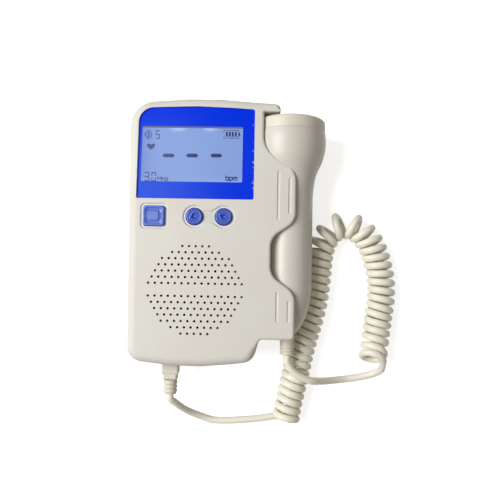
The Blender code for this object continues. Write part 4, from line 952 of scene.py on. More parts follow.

# %% Painted light on the recess floors and painted shade in the holes
# The recess floors are polished, with a lighter colour as painted light, and a duller one in the
# neck between the volume keys as painted shade
tree = polished_and_lit_finish.node_tree
off_neck = maths(tree, "SUBTRACT", place(tree)[0], (up_x + down_x) / 2)
off_neck = maths(tree, "ABSOLUTE", off_neck)
retinted(polished_and_lit_finish, ramp(tree, off_neck, 2 * mm, 4.2 * mm), (222, 221, 214))
x, y, z = rows_of(front_casing.data.polygons, "center")
kind = (np.abs(z - recess_z) < 0.01 * mm).astype(np.int32)
over_speaker = np.hypot(x - speaker_x, y - speaker_y) < (grille_radius + 2) * mm
# The walls of the speaker's holes take the black finish as painted shade: the light that enters
# them hardly comes back
kind[over_speaker & (z < thickness - 0.3 * mm) & (z > ceiling_z + 0.1 * mm)] = 2
front_casing.data.materials.append(polished_and_lit_finish)
front_casing.data.materials.append(black_finish)
front_casing.data.polygons.foreach_set("material_index", kind)
polished, dark = (kind == 1).sum(), (kind == 2).sum()
print(f"{polished} polished faces round the keys, {dark} dark ones in the holes")

# %% The rear half with its battery bay
# Along the unit, in mm: the jack with its room, then the bay with its play, spring and cell
jack_room, jack_set_in, jack_length = 1.2, 2.2, 7.9
play, spring_length, contact, cell_length = 0.4, 5.8, 1, 50.5
bay_x, bay_half = left_x + 41.9 * mm, 14.95 * mm
bay_low = -half_length + (jack_room + jack_set_in + jack_length) * mm + 1.8 * mm
bay_high = bay_low + (play + spring_length + contact + cell_length) * mm
screw_places = (
    (left_x + 7.8 * mm, half_length - 7.8 * mm),
    (axis_x - head_radius - channel_room - casing_wall - 3.84 * mm, half_length - 6.84 * mm),
    (left_x + 7.56 * mm, foot_y + 7.02 * mm),
    (axis_x - 20.48 * mm, foot_y + 6.24 * mm),
)


def posts(name, radius, low, high):
    """A round column at each screw."""
    return [
        solid(f"{name}_{k}", [ring_at(circle(x, y, radius, 40), 0, z) for z in (low, high)])
        for k, (x, y) in enumerate(screw_places)
    ]


rear_parts = [
    lofted(rear_rings),
    capped(rear_rings[-1]),
    capped(ring_at(inner, 0, floor_wall)),
    lofted([ring_at(inner, 0, floor_wall), ring_at(inner, 0, rear_seam_z)]),
    flat_sheet(rear_rings[0], [inner[0]], rear_seam_z),
]
rear_casing = mesh_piece("rear_casing", rear_parts)
bay_left, bay_right = bay_x - bay_half, bay_x + bay_half
shelf = block(
    bay_left - 1.2 * mm, foot_y + 1.1 * mm, bay_right + 0.6 * mm, bay_low - 1.5 * mm,
    floor_wall - 0.4 * mm, floor_wall + 1.6 * mm,
)
bay_way = block(bay_left, bay_low, bay_right, bay_high - 1.3 * mm, outside_z, 2.9 * mm)
door_way = block(bay_left, outside_y, bay_right, bay_low + 2 * mm, outside_z, floor_wall)
carve(rear_casing, posts("post", 3.2 * mm, 1.2 * mm, 17 * mm), "UNION")
carve(rear_casing, [solid("shelf", shelf)], "UNION")
carve(
    rear_casing,
    [
        channel("rear_channel"), solid("bay_way", bay_way), solid("door_way", door_way),
        *foot_ways("rear"),
        *posts("well", 2.8 * mm, outside_z, 4.3 * mm), *posts("bore", 1.6 * mm, 3 * mm, 18 * mm),
    ],
)
dress(even_shading(rear_casing), casing_finish, "root", "rear_shell")

# %% [markdown]
# ## The probe
#
# The probe is a head that swells out of a handle, closed by a cap that carries the
# ultrasound window. A Screw modifier could turn the profile, but the two shells meet in
# a seam along the handle. So each shell is half a turn, its edges eased along the seam,
# with the wall's inside as part of the same ring of points.


# %% Turned parts and half shells
def turned(radii, heights, count=96, closed=False, x=axis_x, z=axis_z):
    """A profile carried round a line along Y: x and z are radius * cosine and sine."""
    angle = np.arange(count) / count * math.tau
    radii, heights = np.asarray(radii, float)[:, None], np.asarray(heights, float)[:, None]
    across, up = x + radii * np.cos(angle), z + radii * np.sin(angle)
    return lofted(np.stack([across, np.broadcast_to(heights, across.shape), up], -1), closed)


def arc(centre, radius, start, end, steps):
    """Points of an arc in a profile, as (radius, height) pairs. Angles in degrees."""
    angle = np.radians(np.linspace(start, end, steps))
    return np.array(centre) + radius * np.column_stack([np.cos(angle), np.sin(angle)])


def half_shell(name, side):
    """Outer half circle, eased seam edge, inner half circle, as one ring at each height."""
    wall, ease = 1.8 * mm, 0.22 * mm
    inner_radius = np.maximum(profile_radius - wall, 3.2 * mm)
    outer, inside = profile_radius[:, None], inner_radius[:, None]
    low = np.arcsin((half_gap + ease) / outer)
    outer_angle = low + (math.pi - 2 * low) * np.linspace(0, 1, 64)
    inner_low = np.arcsin(half_gap / inside)
    inner_angle = math.pi - inner_low - (math.pi - 2 * inner_low) * np.linspace(0, 1, 48)
    turn = np.radians([60, 30, 0])
    eased_edge = np.sqrt(outer**2 - (half_gap + ease) ** 2) - ease * (1 - np.sin(turn))
    edge_up = np.broadcast_to(half_gap + ease * (1 - np.cos(turn)), eased_edge.shape)
    outer_x, outer_z = outer * np.cos(outer_angle), outer * np.sin(outer_angle)
    inner_x, inner_z = inside * np.cos(inner_angle), inside * np.sin(inner_angle)
    across = np.hstack([outer_x, -eased_edge, inner_x, eased_edge[:, ::-1]])
    up = np.hstack([outer_z, edge_up, inner_z, edge_up[:, ::-1]])
    y = np.broadcast_to(profile_y[:, None], across.shape)
    rings = np.stack([axis_x + across, y, axis_z + side * up], -1)
    return mesh_piece(name, [lofted(rings), capped(rings[0]), capped(rings[-1])], 40)


for half, side in (("front", 1), ("back", -1)):
    made = half_shell("probe_" + half, side)
    dress(made, probe_finish, "probe", "probe_shell_" + half)

# %% The cap and the ultrasound window
cap_radius, cap_round, face_radius = 18.2 * mm, 1.6 * mm, 15.1 * mm
seam_y = probe_top - cap_share * probe_length
spigot, cap_mouth = profile_radius[0] - 2.4 * mm, face_radius + 0.3 * mm
cap_profile = np.vstack(
    [
        [(cap_mouth, probe_top - 1.9 * mm), (cap_mouth, probe_top - 0.2 * mm)],
        arc((face_radius + 0.5 * mm, probe_top - 0.2 * mm), 0.2 * mm, 180, 90, 4),
        arc((cap_radius - cap_round, probe_top - cap_round), cap_round, 90, 0, 12),
        arc((cap_radius - 0.15 * mm, seam_y + 0.27 * mm), 0.15 * mm, 0, -90, 4),
        [(spigot, seam_y + 0.12 * mm), (spigot, seam_y - 2.5 * mm)],
        [(spigot - 1.2 * mm, seam_y - 2.5 * mm), (spigot - 1.2 * mm, probe_top - 1.9 * mm)],
    ]
)
cap = mesh_piece("cap", [turned(*cap_profile.T, closed=True)])
dress(even_shading(cap), cream_finish, "probe", "probe_cap")
face_profile = np.vstack(
    [
        [(0, probe_top)],
        arc((face_radius - 0.3 * mm, probe_top - 0.3 * mm), 0.3 * mm, 90, 0, 5),
        [(face_radius, probe_top - 1.6 * mm), (0, probe_top - 1.6 * mm)],
    ]
)
face = mesh_piece("ultrasound_window", [turned(*face_profile.T)])
dress(even_shading(face), face_finish, "probe", "acoustic_window")

# %% The probe's strain relief
tip_y = probe_top - probe_length
relief_length, relief_radius, relief_end = 10.7 * mm, 3.7 * mm, 2.9 * mm


def relief_line():
    """A plain sleeve with an eased shoulder, two grooves near its end and a round lip."""
    top, end, groove = tip_y - 0.3 * mm, tip_y - relief_length, 0.55 * mm
    rows = [arc((relief_radius - 0.4 * mm, top - 0.4 * mm), 0.4 * mm, 90, 0, 5)]
    for middle in (end + 3.4 * mm, end + 1.6 * mm):
        angle = np.linspace(-math.pi, math.pi, 13)
        depth = groove * (1 + np.cos(angle)) / 2
        rows.append(np.column_stack([relief_radius - depth, middle - groove * angle / math.pi]))
    rows.append(arc((relief_radius - 0.5 * mm, end + 0.5 * mm), 0.5 * mm, 0, -90, 5))
    return np.vstack(rows)


collar_top, collar_radius = tip_y + handle_radius * 0.62, 5 * mm
inner_rows = [
    (0, collar_top), (collar_radius, collar_top), (collar_radius, collar_top - 2 * mm),
    (relief_end, collar_top - 2 * mm), (relief_end, tip_y - 0.3 * mm),
]
relief_profile = np.vstack([inner_rows, relief_line(), [(0, tip_y - relief_length)]])
probe_relief = mesh_piece("probe_relief", [turned(*relief_profile.T, count=64)])
dress(
    even_shading(probe_relief), cream_finish, "probe", "probe_strain_relief"
)

# %% [markdown]
# ## The plug
#
# The plug is one rubbery moulding: a square grip, a short neck and a ribbed relief that
# saves the cord from kinking. Its ribs are soft waves, so the relief's radius follows a
# cosine along its length instead of stepping from rib to groove.


# %% Rounded blocks
def rounded_rings(outline, low, high, low_round, high_round, steps=7):
    """Up from the low face, round its edge, up the wall, round the high edge."""
    angles = np.linspace(0, math.pi / 2, steps)
    inward, onward = 1 - np.cos(angles), 1 - np.sin(angles)
    rings = [ring_at(outline, -low_round * o, low + low_round * i) for i, o in zip(inward, onward)]
    return rings + [
        ring_at(outline, -high_round * i, high - high_round * o) for i, o in zip(inward, onward)
    ]


plug_face = -half_length - 0.3 * mm


def plug_block(name, width, height, low, high, corner):
    outline = centred(socket_x, split_z, width / 2 * mm, height / 2 * mm, corner * mm)
    low, high = plug_face + low * mm, plug_face + high * mm
    return solid(name, along_y(rounded_rings(outline, low, high, 0.7 * mm, 0.7 * mm)))


plug_grip = plug_block("plug_grip", 8.9, 6.1, -6.1, 0, 0.9)
carve(plug_grip, [plug_block("plug_neck", 7.7, 5.4, -8.9, -4.3, 1.2)], "UNION", 40)
dress(even_shading(plug_grip), cream_finish, "plug", "plug_body")


def wavy_relief():
    """Radius = taper - depth * (1 - cosine of the wave) / 2, with three and a half waves
    along the relief."""
    length, depth, thick, thin = 7.4 * mm, 0.46 * mm, 3.9 * mm, 3.65 * mm
    top, share = plug_face - 9 * mm, np.linspace(0, 1, 49)
    wave = share * 7 * math.pi + math.pi * 0.35
    radii = thick + (thin - thick) * share - depth * (1 - np.cos(wave)) / 2
    radii = np.concatenate([[0], radii, [0]])
    heights = np.concatenate([[top], top - length * share, [top - length]])
    return turned(radii, heights, 56, x=socket_x, z=split_z)


plug_relief = mesh_piece("plug_relief", [wavy_relief()], 50)
dress(even_shading(plug_relief), cream_finish, "plug", "plug_strain_relief")

# %% [markdown]
# ## The keys
#
# The power key is a rounded square with steps pressed into its face. The volume keys are
# low domes with a sunk triangle. The triangle's outline is written in polar form, so the
# same rays run from the key's rim, over the dome and down into the triangle. Each key
# carries painted light and shade as an attribute: paler on its flat tops, a deeper blue in
# its dips. It is worked out from its own rings, and the finish reads it.

# %% Painted light on pale tops, painted shade in deep dips
def with_painted_light(made, measure, places, shares):
    """Stores how pale each vertex is, as painted light and shade: its measure in mm, such as a
    distance from the key's middle, looked up between the given places."""
    measured = measure(*rows_of(made.data.vertices, "co")) / mm
    painted_lightness = made.data.attributes.new("painted_lightness", "FLOAT", "POINT")
    painted_lightness.data.foreach_set("value", np.interp(measured, places, shares))
    return made


# Where the stored value is low the key takes a deep blue as painted shade, and where it is high it
# keeps a pale blue as painted light
tree = key_finish.node_tree
painted_lightness = node(tree, "Attribute", {"attribute_name": "painted_lightness"}).outputs["Fac"]
speckle = between(tree, noise(tree, 1500).outputs["Fac"], 0.7, 1.3)
retinted(key_finish, maths(tree, "MULTIPLY", painted_lightness, speckle), (26, 64, 186))
print("key finish reads its paleness")

# %% The power key
key_top, key_low = thickness + 1 * mm, ceiling_z - 1.6 * mm


def power_rings():
    """Rings from the key's base to its middle, as (shrink, sink, corner) in mm: a round rim,
    a step down to a ring with a fine line in it, and a raised pad. On the rim, with angle a,
    shrink is rim * (1 - cos a) and sink is rim * (1 - sin a)."""
    half_x, half_y, rim, corner = 5.35, 5, 0.5, 1.2
    steps = [(0, (key_top - key_low) / mm, corner), (0, rim, corner)]
    steps += [
        (rim * (1 - math.cos(a)), rim * (1 - math.sin(a)), corner) for a in (0.4, 0.8, 1.2, 1.57)
    ]
    steps += [
        (1.0, 0, 1.4), (1.06, 0.04, 1.5), (1.22, 0.36, 1.6), (1.3, 0.38, 1.6), (1.9, 0.38, 1.5),
        (1.96, 0.42, 1.5), (2.06, 0.56, 1.4), (2.2, 0.56, 1.4), (2.3, 0.38, 1.3),
        (2.66, 0.38, 1.2), (2.72, 0.34, 1.1), (2.88, 0.04, 1.0), (2.96, 0, 1.0),
        (3.05, 0, 0.95), (3.6, 0, 0.7),
    ]
    rings = []
    for shrink, sink, corner in steps:
        sides = (half_x - shrink) * mm, (half_y - shrink) * mm
        rings.append(ring_at(centred(power_x, key_y, *sides, corner * mm), 0, key_top - sink * mm))
    return rings


def from_middle(x, y, z):
    """Distance from the key's middle, the same all round a rounded square."""
    return (abs(x - power_x) ** 8 + abs(y - key_y) ** 8) ** (1 / 8)


# Painted shade in the power key's grooves and painted light on its flat rings and pad
power_key = with_painted_light(
    solid("power_button", power_rings()), from_middle,
    (2.25, 2.4, 2.75, 2.95, 3.1, 3.25, 3.45, 3.95, 4.2, 4.9),
    (1.1, 0.4, 0.3, 1.0, 1.1, 1.0, 0.3, 0.5, 0.85, 0.7),
)
dress(even_shading(power_key), key_finish, "power_key", "power_key")


# %% The volume keys
def round_button(name, key_x, points_up):
    """Radius along a ray: a straight wall, a round rim, a shallow ring, then a triangular
    pit whose depth follows 1 - share squared. The triangle's side lies at a / cosine of the
    angle from the side's middle, and a soft minimum rounds its corners."""
    angle = np.arange(96) / 96 * math.tau
    toward = math.pi / 2 if points_up else -math.pi / 2
    off_side = (angle - toward) % (math.tau / 3) - math.pi / 3
    side, reach, power = 2.5 * mm * math.cos(math.pi / 3), 2.3 * mm, 14
    triangle = ((np.cos(off_side) / side) ** power + (1 / reach) ** power) ** (-1 / power)
    radius, rim, sink = 4.25 * mm, 0.85 * mm, 0.12 * mm
    flat, dish = radius - rim, triangle + 0.15 * mm
    rows = [(radius, key_low), (radius, key_top - rim)]
    rows += [
        (radius - rim * (1 - math.cos(a)), key_top - rim * (1 - math.sin(a)) - sink)
        for a in np.linspace(0, math.pi / 2, 8)
    ]
    rows += [
        (flat * (1 - s) + dish * s, key_top - sink - sink * math.sin(s * math.pi))
        for s in (0.2, 0.5, 0.8, 1)
    ]
    rows += [
        (triangle * s, key_top - (0.15 + 0.7 * (1 - s * s)) * mm)
        for s in (1, 0.8, 0.6, 0.42, 0.26, 0.1)
    ]
    across, up = np.cos(angle), np.sin(angle)
    rings = [
        np.column_stack([key_x + r * across, key_y + r * up, np.full(len(angle), height)])
        for r, height in rows
    ]
    return solid(name, rings)


for name, key_x, points_up in (("volume_up", up_x, True), ("volume_down", down_x, False)):
    # Painted shade deepening down into the triangular pit, and painted light on the dome
    made = with_painted_light(
        round_button(name + "_button", key_x, points_up), lambda x, y, z: key_top - z,
        (0, 0.1, 0.13, 0.2, 0.3, 0.4), (0.38, 0.38, 0.43, 0.33, 0.04, 0),
    )
    dress(even_shading(made), key_finish, name + "_key", name + "_key")

# %% [markdown]
# ## The display
#
# Light from a white guide passes a liquid crystal panel, whose dark segments are printed
# glass. A clear plate with a blue print behind it closes the window. The panel glows by
# itself here, brighter towards its lamps at the top, because a lamp under it would cost
# many more samples for the same look. The segments are thin plates just above the panel.

# %% Clear plate and blue print
plate_outline, plate_low = window_outline(0.06 * mm), 33.7 * mm
plate_rings = rounded_rings(plate_outline, plate_low, thickness, 0.05 * mm, 0.2 * mm, 5)
plate = solid("window_plate", plate_rings)
mask_corners = [
    (view_left - 0.4 * mm, view_low), (view_right, view_low), (view_right, view_high),
    (view_left, view_high),
]
mask_hole, levels = plain(mask_corners, 0.5 * mm), (33.4 * mm, 33.65 * mm)
print_faces = [flat_sheet(plate_outline[0], [mask_hole[0]], level) for level in levels]
print_walls = [
    lofted([ring_at(edge, 0, level) for level in levels]) for edge in (plate_outline, mask_hole)
]
blue_print = mesh_piece("blue_print", print_faces + print_walls)
print(f"plate {(thickness - plate_low) / mm:.1f} mm thick over its print")


def clear_finish():
    """A clear pane that mirrors more at a glance, by Schlick's rule: a small share head on,
    and the fifth power of one minus the cosine beyond it. It bends no light, so Fresnel's
    law would mirror everything at a low angle on the way out."""
    made, tree, shader = new_material("clear_plate", (255, 255, 255), 0.05)
    tree.nodes.remove(shader)
    mirror = node(tree, "BsdfAnisotropic", Color=(1, 1, 1, 1), Roughness=0.06)
    straight = node(tree, "BsdfTransparent")
    glance = node(tree, "LayerWeight", Blend=0.5).outputs["Facing"]
    share = between(tree, maths(tree, "POWER", glance, 5), 0.004, 0.9)
    both = node(tree, "MixShader", _0=share, _1=straight.outputs[0], _2=mirror.outputs[0])
    tree.links.new(both.outputs[0], tree.nodes["Material Output"].inputs["Surface"])
    return made


def print_finish():
    """Blue ink, paler to the lower left as a painted reflection, with tiny chips along its right
    rim.
    """
    made, tree, shader = new_material(
        "window_print", (2, 56, 226), 0.35, Specular_IOR_Level=0.0
    )
    x, y = place(tree)
    # Painted reflection: the ink is painted paler towards the lower left, where the light's glare
    # lies
    painted_glare = maths(
        tree, "MULTIPLY", ramp(tree, x, window_left + 4 * mm, view_right, 1, 0.1),
        ramp(tree, y, window_low + 18 * mm, window_high, 1, 0.2),
    )
    patches = between(tree, noise(tree, 70, 3.0).outputs["Fac"], 0.75, 1.2)
    painted_glare = maths(tree, "MULTIPLY", painted_glare, patches)
    ink = blended(tree, painted_glare, linear(0, 52, 232), linear(62, 96, 230))
    rim = ramp(tree, x, window_right - 1.1 * mm, window_right - 0.7 * mm)
    specks = ramp(tree, noise(tree, 850, 1.0).outputs["Fac"], 0.66, 0.7)
    chips = maths(tree, "MULTIPLY", rim, specks)
    tree.links.new(blended(tree, chips, ink, linear(226, 232, 244)), shader.inputs["Base Color"])
    uneven_gloss(tree, shader, noise(tree, 300), 0.28, 0.42)
    return made


ink = print_finish()
dress(even_shading(plate), clear_finish(), "root", "display_window")
dress(blue_print, ink, "root", "window_mask")

# The ink also runs round the plate's edge, so no dark line shows beside the casing
upward = rows_of(plate.data.polygons, "normal")[2]
plate.data.materials.append(ink)
plate.data.polygons.foreach_set("material_index", (abs(upward) < 0.3).astype(np.int32))

# %% The glowing panel
lcd_top, lcd_border, lcd_depth = ceiling_z - 0.3 * mm, 2.8 * mm, 2.8 * mm
lcd_outline = rectangle(
    view_left - lcd_border, view_low - lcd_border, view_right + lcd_border,
    view_high + lcd_border, 0.5 * mm,
)
lcd_rings = rounded_rings(lcd_outline, lcd_top - lcd_depth, lcd_top, 0.1 * mm, 0.1 * mm, 3)
panel = solid("display_panel", lcd_rings)


def glow_finish():
    """A glow that falls off from its lamps behind the upper edge. A violet tint shows at the
    left, and a dark band of painted shade lies along the top, under the print's edge."""
    made, tree, shader = new_material("lcd_glass", (26, 30, 40), 0.25, Specular_IOR_Level=0.2)
    x, y = place(tree)
    left = ramp(tree, x, view_left, view_left + 9 * mm)
    right = ramp(tree, x, view_left + 22 * mm, view_right)
    lower = ramp(tree, y, view_high - 24 * mm, view_low, 0, 0.3)
    # Painted shade: a dark band along the top edge, where the print above casts its shadow
    painted_shade_band = ramp(tree, y, view_high - 0.55 * mm, view_high - 0.35 * mm)
    shade = blended(tree, left, linear(134, 156, 224), linear(143, 170, 230))
    shade = blended(tree, right, shade, linear(136, 162, 224))
    shade = blended(tree, lower, shade, linear(160, 182, 238))
    where, squeeze = node(tree, "TexCoord").outputs["Object"], 2.2
    where = node(tree, "Mapping", Vector=where, Scale=(1, squeeze, 1)).outputs["Vector"]
    for lamp_x, reach in ((17.5, 6.5), (33.6, 5.5)):
        spot = (view_left + lamp_x * mm, squeeze * (view_high - 0.3 * mm), lcd_top)
        away = node(tree, "VectorMath", {"operation": "DISTANCE"}, _0=where, _1=spot)
        near = ramp(tree, away.outputs["Value"], reach * mm, 0)
        shade = blended(tree, near, shade, linear(192, 210, 255))
    shade = blended(tree, painted_shade_band, shade, linear(104, 112, 160))
    tree.links.new(shade, shader.inputs["Emission Color"])
    shader.inputs["Emission Strength"].default_value = 0.94
    uneven_gloss(tree, shader, noise(tree, 900), 0.2, 0.3)
    return made


dress(even_shading(panel), glow_finish(), "root", "lcd_panel")


# %% The segments
def flat_plate(name, outlines):
    """Flat shapes with a little thickness, just above the panel."""
    parts = []
    for outline in outlines:
        low, high = (
            np.column_stack([outline, np.full(len(outline), lcd_top + lift * mm)])
            for lift in (0.02, 0.06)
        )
        parts += [lofted([low, high]), capped(low), capped(high)]
    return mesh_piece(name, parts, weld=False)


def on_view(points):
    """Millimetres from the view's lower left corner, in the model's frame."""
    return np.array(points, float) * mm + (view_left, view_low)


def dash(left, right, middle):
    """A lying segment with pointed ends."""
    low, high, in_left, in_right = middle - 0.95, middle + 0.95, left + 0.95, right - 0.95
    return on_view(
        [
            (left, middle), (in_left, low), (in_right, low),
            (right, middle), (in_right, high), (in_left, high),
        ]
    )


def bar(left, bottom, right, top):
    return on_view([(left, bottom), (right, bottom), (right, top), (left, top)])


def heart(left, bottom, right, top):
    """A full heart curve, fitted to its box: x is the sine squared with its sign, and y is
    15 cos t - 5 cos 2t - 2 cos 3t - cos 4t."""
    t = np.linspace(0, math.tau, 40, endpoint=False)
    y = 15 * np.cos(t) - 5 * np.cos(2 * t) - 2 * np.cos(3 * t) - np.cos(4 * t)
    curve = np.column_stack([np.sin(t) * abs(np.sin(t)), y])
    share = (curve - curve.min(axis=0)) / np.ptp(curve, axis=0)
    return on_view((left, bottom) + share * (right - left, top - bottom))


def digit(left, bottom, right, top, lit, width):
    """Seven segments by letter: a is the top, then clockwise, and g is the middle. Each one
    stops short of its neighbours."""
    middle, gap = (bottom + top) / 2, 0.12
    low, high = bottom + width + gap, top - width - gap
    below, above = middle - width / 2 - gap, middle + width / 2 + gap
    places = {
        "a": (left + gap, top - width, right - gap, top),
        "b": (right - width, above, right, high),
        "c": (right - width, low, right, below),
        "d": (left + gap, bottom, right - gap, bottom + width),
        "e": (left, low, left + width, below),
        "f": (left, above, left + width, high),
        "g": (left + gap, middle - width / 2, right - gap, middle + width / 2),
    }
    return [bar(*places[letter]) for letter in lit]


def stroke(points, width, closed=False):
    """Short straight pieces along a line, each as wide as the pen and a little longer than
    its step, so that they join."""
    points = np.array(points, float)
    ends = np.roll(points, -1, axis=0) if closed else points[1:]
    starts = points if closed else points[:-1]
    way = (ends - starts) / np.linalg.norm(ends - starts, axis=1)[:, None] * width / 2
    side = np.column_stack([-way[:, 1], way[:, 0]])
    starts, ends = starts - way * 0.4, ends + way * 0.4
    quads = np.stack([starts - side, ends - side, ends + side, starts + side], 1)
    return [on_view(quad) for quad in quads]


def sound_wave(radius):
    """An arc to the right of the loudspeaker sign."""
    angle = np.radians(np.linspace(-42, 42, 7))
    x, y = 1.35 + radius * np.cos(angle), 23.85 + radius * np.sin(angle)
    return stroke(np.column_stack([x, y]), 0.32)


# %% The marks on the view, in mm from its lower left corner
marks = [dash(9.8, 16.1, 13.4), dash(21.7, 28.0, 13.55), dash(33.9, 40.0, 13.7)]
marks += [heart(1.95, 16.2, 6.0, 19.35)]
# The volume sign and its level
marks += stroke([(0.75, 23.85), (2.6, 26), (2.6, 21.7)], 0.4, closed=True)
marks += sound_wave(1.9) + sound_wave(2.9)
marks += digit(6.2, 21.8, 8.45, 26.1, "afgcd", 0.5)
# The probe's frequency, with its point
marks += digit(0.95, 0.3, 3.5, 4.9, "abgcd", 0.52)
marks += digit(4.55, 0.3, 6.95, 4.9, "abcdef", 0.52)
marks += [bar(3.72, 0.3, 4.3, 0.86)]
# The battery sign: its outline in three strokes, its tip and four bars
for line in (
    [(41.6, 26.55), (40.6, 26.55), (40.6, 25.5)],
    [(40.6, 23.7), (40.6, 22.6), (41.6, 22.6)],
    [(42.1, 26.55), (48.0, 26.55), (48.0, 22.6), (42.1, 22.6)],
):
    marks += stroke(line, 0.28)
marks += [bar(48.1, 23.8, 48.8, 25.4)]
marks += [bar(41.55 + 1.5 * k, 23.35, 42.55 + 1.5 * k, 25.8) for k in range(4)]
segments = flat_plate("segments", marks)

# %% The units beside the numbers
# Letters are pen lines in a box one unit wide and high, which the stems of b and p leave
bowl = [(0, 0.95), (0.7, 1), (1, 0.75), (1, 0.25), (0.7, 0), (0, 0.05)]
letters = {
    "M": [[(0, 0), (0, 1), (0.5, 0.45), (1, 1), (1, 0)]],
    "H": [[(0, 0), (0, 1)], [(1, 0), (1, 1)], [(0, 0.5), (1, 0.5)]],
    "z": [[(0, 0.72), (1, 0.72), (0, 0), (1, 0)]],
    "b": [[(0, 0), (0, 1.45)], bowl],
    "p": [[(0, -0.45), (0, 1)], bowl],
    "m": [
        [(0, 0), (0, 1)], [(0, 0.9), (0.35, 1), (0.5, 0.8), (0.5, 0)],
        [(0.5, 0.85), (0.85, 1), (1, 0.8), (1, 0)],
    ],
}


def word(text, left, bottom, widths, height, gap, pen):
    """Each letter's lines, scaled to its width and set beside the last one."""
    quads = []
    for letter, width in zip(text, widths):
        for line in letters[letter]:
            quads += stroke(np.array(line) * (width, height) + (left, bottom), pen)
        left += width + gap
    return quads


frequency_unit = word("MHz", 7.75, 0.65, (1.75, 1.35, 1.3), 1.95, 0.45, 0.34)
rate_unit = word("bpm", 42.0, 1.3, (1.3, 1.3, 1.9), 1.62, 0.55, 0.48)
units = flat_plate("units", frequency_unit + rate_unit)

# %% The segments' finish
# Dark blue grey, and paler towards the left
segment_finish = moulded("lcd_segment", (62, 72, 114), 0.6, grain=0.0, gloss=0.1)
tree = segment_finish.node_tree
from_left = ramp(tree, place(tree)[0], view_left, view_left + 36 * mm)
retinted(segment_finish, from_left, (88, 102, 150))
for made in (segments, units):
    dress(made, segment_finish, "root", None)

# %% [markdown]
# ## What stays as the CAD made it
#
# The board, the speaker, the battery parts and the screws show through gaps, or when the
# door and the probe come off. Their solids are right as they are, so each only gets a
# finish of its own.

# %% Finishes for the inner parts
def metal(name, colour, roughness, streak=1.0):
    """Bare metal whose gloss varies in spots, or in streaks along Y where streak is small."""
    made, tree, shader = new_material(name, colour, roughness, Metallic=1.0)
    pattern = noise(tree, 700, 4.0, 0.6, stretch=(1, streak, 1))
    uneven_gloss(tree, shader, pattern, roughness - 0.08, roughness + 0.12)
    return made


inner_finishes = {
    "board_laminate": moulded("board_laminate", (40, 96, 62), 0.4, mottle=0.1),
    "black_plastic": black_finish,
    "cone_paper": moulded("cone_paper", (44, 42, 40), 0.85, grain=0.5, grain_scale=1200),
    "magnet": metal("magnet", (90, 90, 94), 0.5),
    "steel": metal("steel", (186, 188, 192), 0.28, 0.1),
    "battery_sleeve": moulded("battery_sleeve", (84, 92, 104), 0.3, grain=0.02),
    "crystal_ceramic": moulded("crystal_ceramic", (196, 190, 172), 0.5),
    "backing_absorber": moulded("backing_absorber", (58, 54, 52), 0.8, grain=0.4),
    "light_guide": moulded("light_guide", (238, 240, 244), 0.4, grain=0.02),
}
cad_rows = [row for row in frame["record"]["subparts"] if row["material_slot"] in inner_finishes]
for row in cad_rows:
    materials = nodes[row["node"]].data.materials
    materials.clear()
    materials.append(inner_finishes[row["material_slot"]])
print(f"{len(cad_rows)} inner solids finished")


# %% The battery door, with its edges eased
def eased_copy(name, source, width):
    """A merged copy of a solid, with its corners rounded by a live Bevel."""
    mesh = nodes[source].data.copy()
    shape = bmesh.new()
    shape.from_mesh(mesh)
    bmesh.ops.remove_doubles(shape, verts=shape.verts, dist=merge_distance)
    flat = math.radians(1)
    bmesh.ops.dissolve_limit(
        shape, angle_limit=flat, verts=shape.verts, edges=shape.edges, delimit={"NORMAL"}
    )
    shape.to_mesh(mesh)
    shape.free()
    smooth_shading(mesh, 30)
    made = add_object(name, mesh)
    rounding = made.modifiers.new("eased", "BEVEL")
    rounding.width, rounding.segments, rounding.limit_method = width, 3, "ANGLE"
    rounding.angle_limit = math.radians(30)
    return even_shading(made)


door = eased_copy("sliding_door", "battery_door", 0.2 * mm)
dress(door, casing_finish, "battery_door", "battery_door")

# %% [markdown]
# ## Finish on the cord
#
# The three lengths of cord share one satin jacket of soft cream plastic. Such a jacket is
# extruded, so it has almost no grain, and a pattern along it would only show as dirt. The
# moulded finish with a very fine bump gives the soft highlight along each curl.

# %% The cord's jacket
for made in (coil_cord, plug_cord, probe_cord):
    made.data.materials.append(cord_finish)
print("jacket on three lengths of cord")

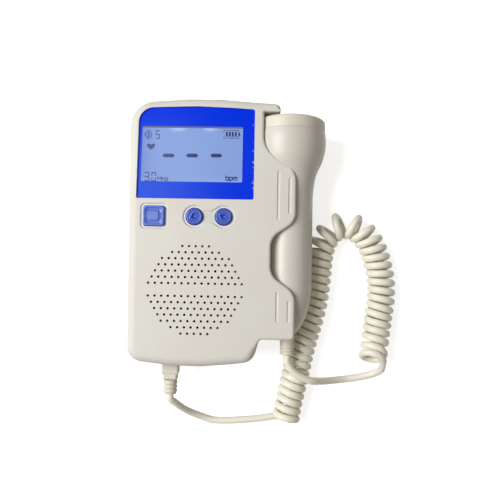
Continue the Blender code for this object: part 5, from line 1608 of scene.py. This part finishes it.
# %% [markdown]
# ## Light and floor
#
# The photograph has one soft light from the left, almost nothing from the right, and a
# white sweep under the unit. The floor is white to the camera and in reflections, but a
# mid grey where light bounces, so it doesn't fill the shadows from below.


# %% One soft box and a dim sky
light = bpy.data.lights.new("key_light", "AREA")
light.shape, light.size, light.energy, light.color = "SQUARE", 0.4, 4.9, (0.98, 0.99, 1.0)
soft_box = add_object("key_light", light)
soft_box.location = (-0.45, 0.07, 0.58)
aim = Vector((0, 0, 0.02)) - soft_box.location
soft_box.rotation_euler = aim.to_track_quat("-Z", "Y").to_euler()
world = bpy.data.worlds.new("world")
world.use_nodes = True
background = world.node_tree.nodes["Background"]
background.inputs["Color"].default_value = (1, 0.94, 0.84, 1)
background.inputs["Strength"].default_value = 0.24
bpy.context.scene.world = world
print(f"soft box of {light.energy:.1f} W")


# %% Floor
def floor_finish():
    """White for camera, mirror and glass rays; grey for light that bounces off it."""
    made, tree, shader = new_material("floor", (120, 120, 120), 0.9)
    output = tree.nodes["Material Output"]
    rays = node(tree, "LightPath").outputs
    seen = maths(tree, "MAXIMUM", rays["Is Camera Ray"], rays["Is Glossy Ray"])
    seen = maths(tree, "MAXIMUM", seen, rays["Is Transmission Ray"])
    white = node(tree, "BsdfDiffuse", Color=(1, 1, 1, 1))
    lift = node(tree, "Emission", Color=(1, 1, 1, 1), Strength=0.7)
    shown = node(tree, "AddShader", _0=white.outputs[0], _1=lift.outputs[0])
    both = node(tree, "MixShader", _0=seen, _1=shader.outputs[0], _2=shown.outputs[0])
    tree.links.new(both.outputs[0], output.inputs["Surface"])
    return made


floor_mesh, floor_reach = bpy.data.meshes.new("floor"), 3.0
corners = np.array([(-1, -1, 0), (1, -1, 0), (1, 1, 0), (-1, 1, 0)]) * floor_reach
floor_mesh.from_pydata(corners.tolist(), [], [(0, 1, 2, 3)])
floor_mesh.materials.append(floor_finish())
floor = add_object("floor", floor_mesh)
bpy.context.scene.view_settings.view_transform = "Standard"
print("lights and floor set")
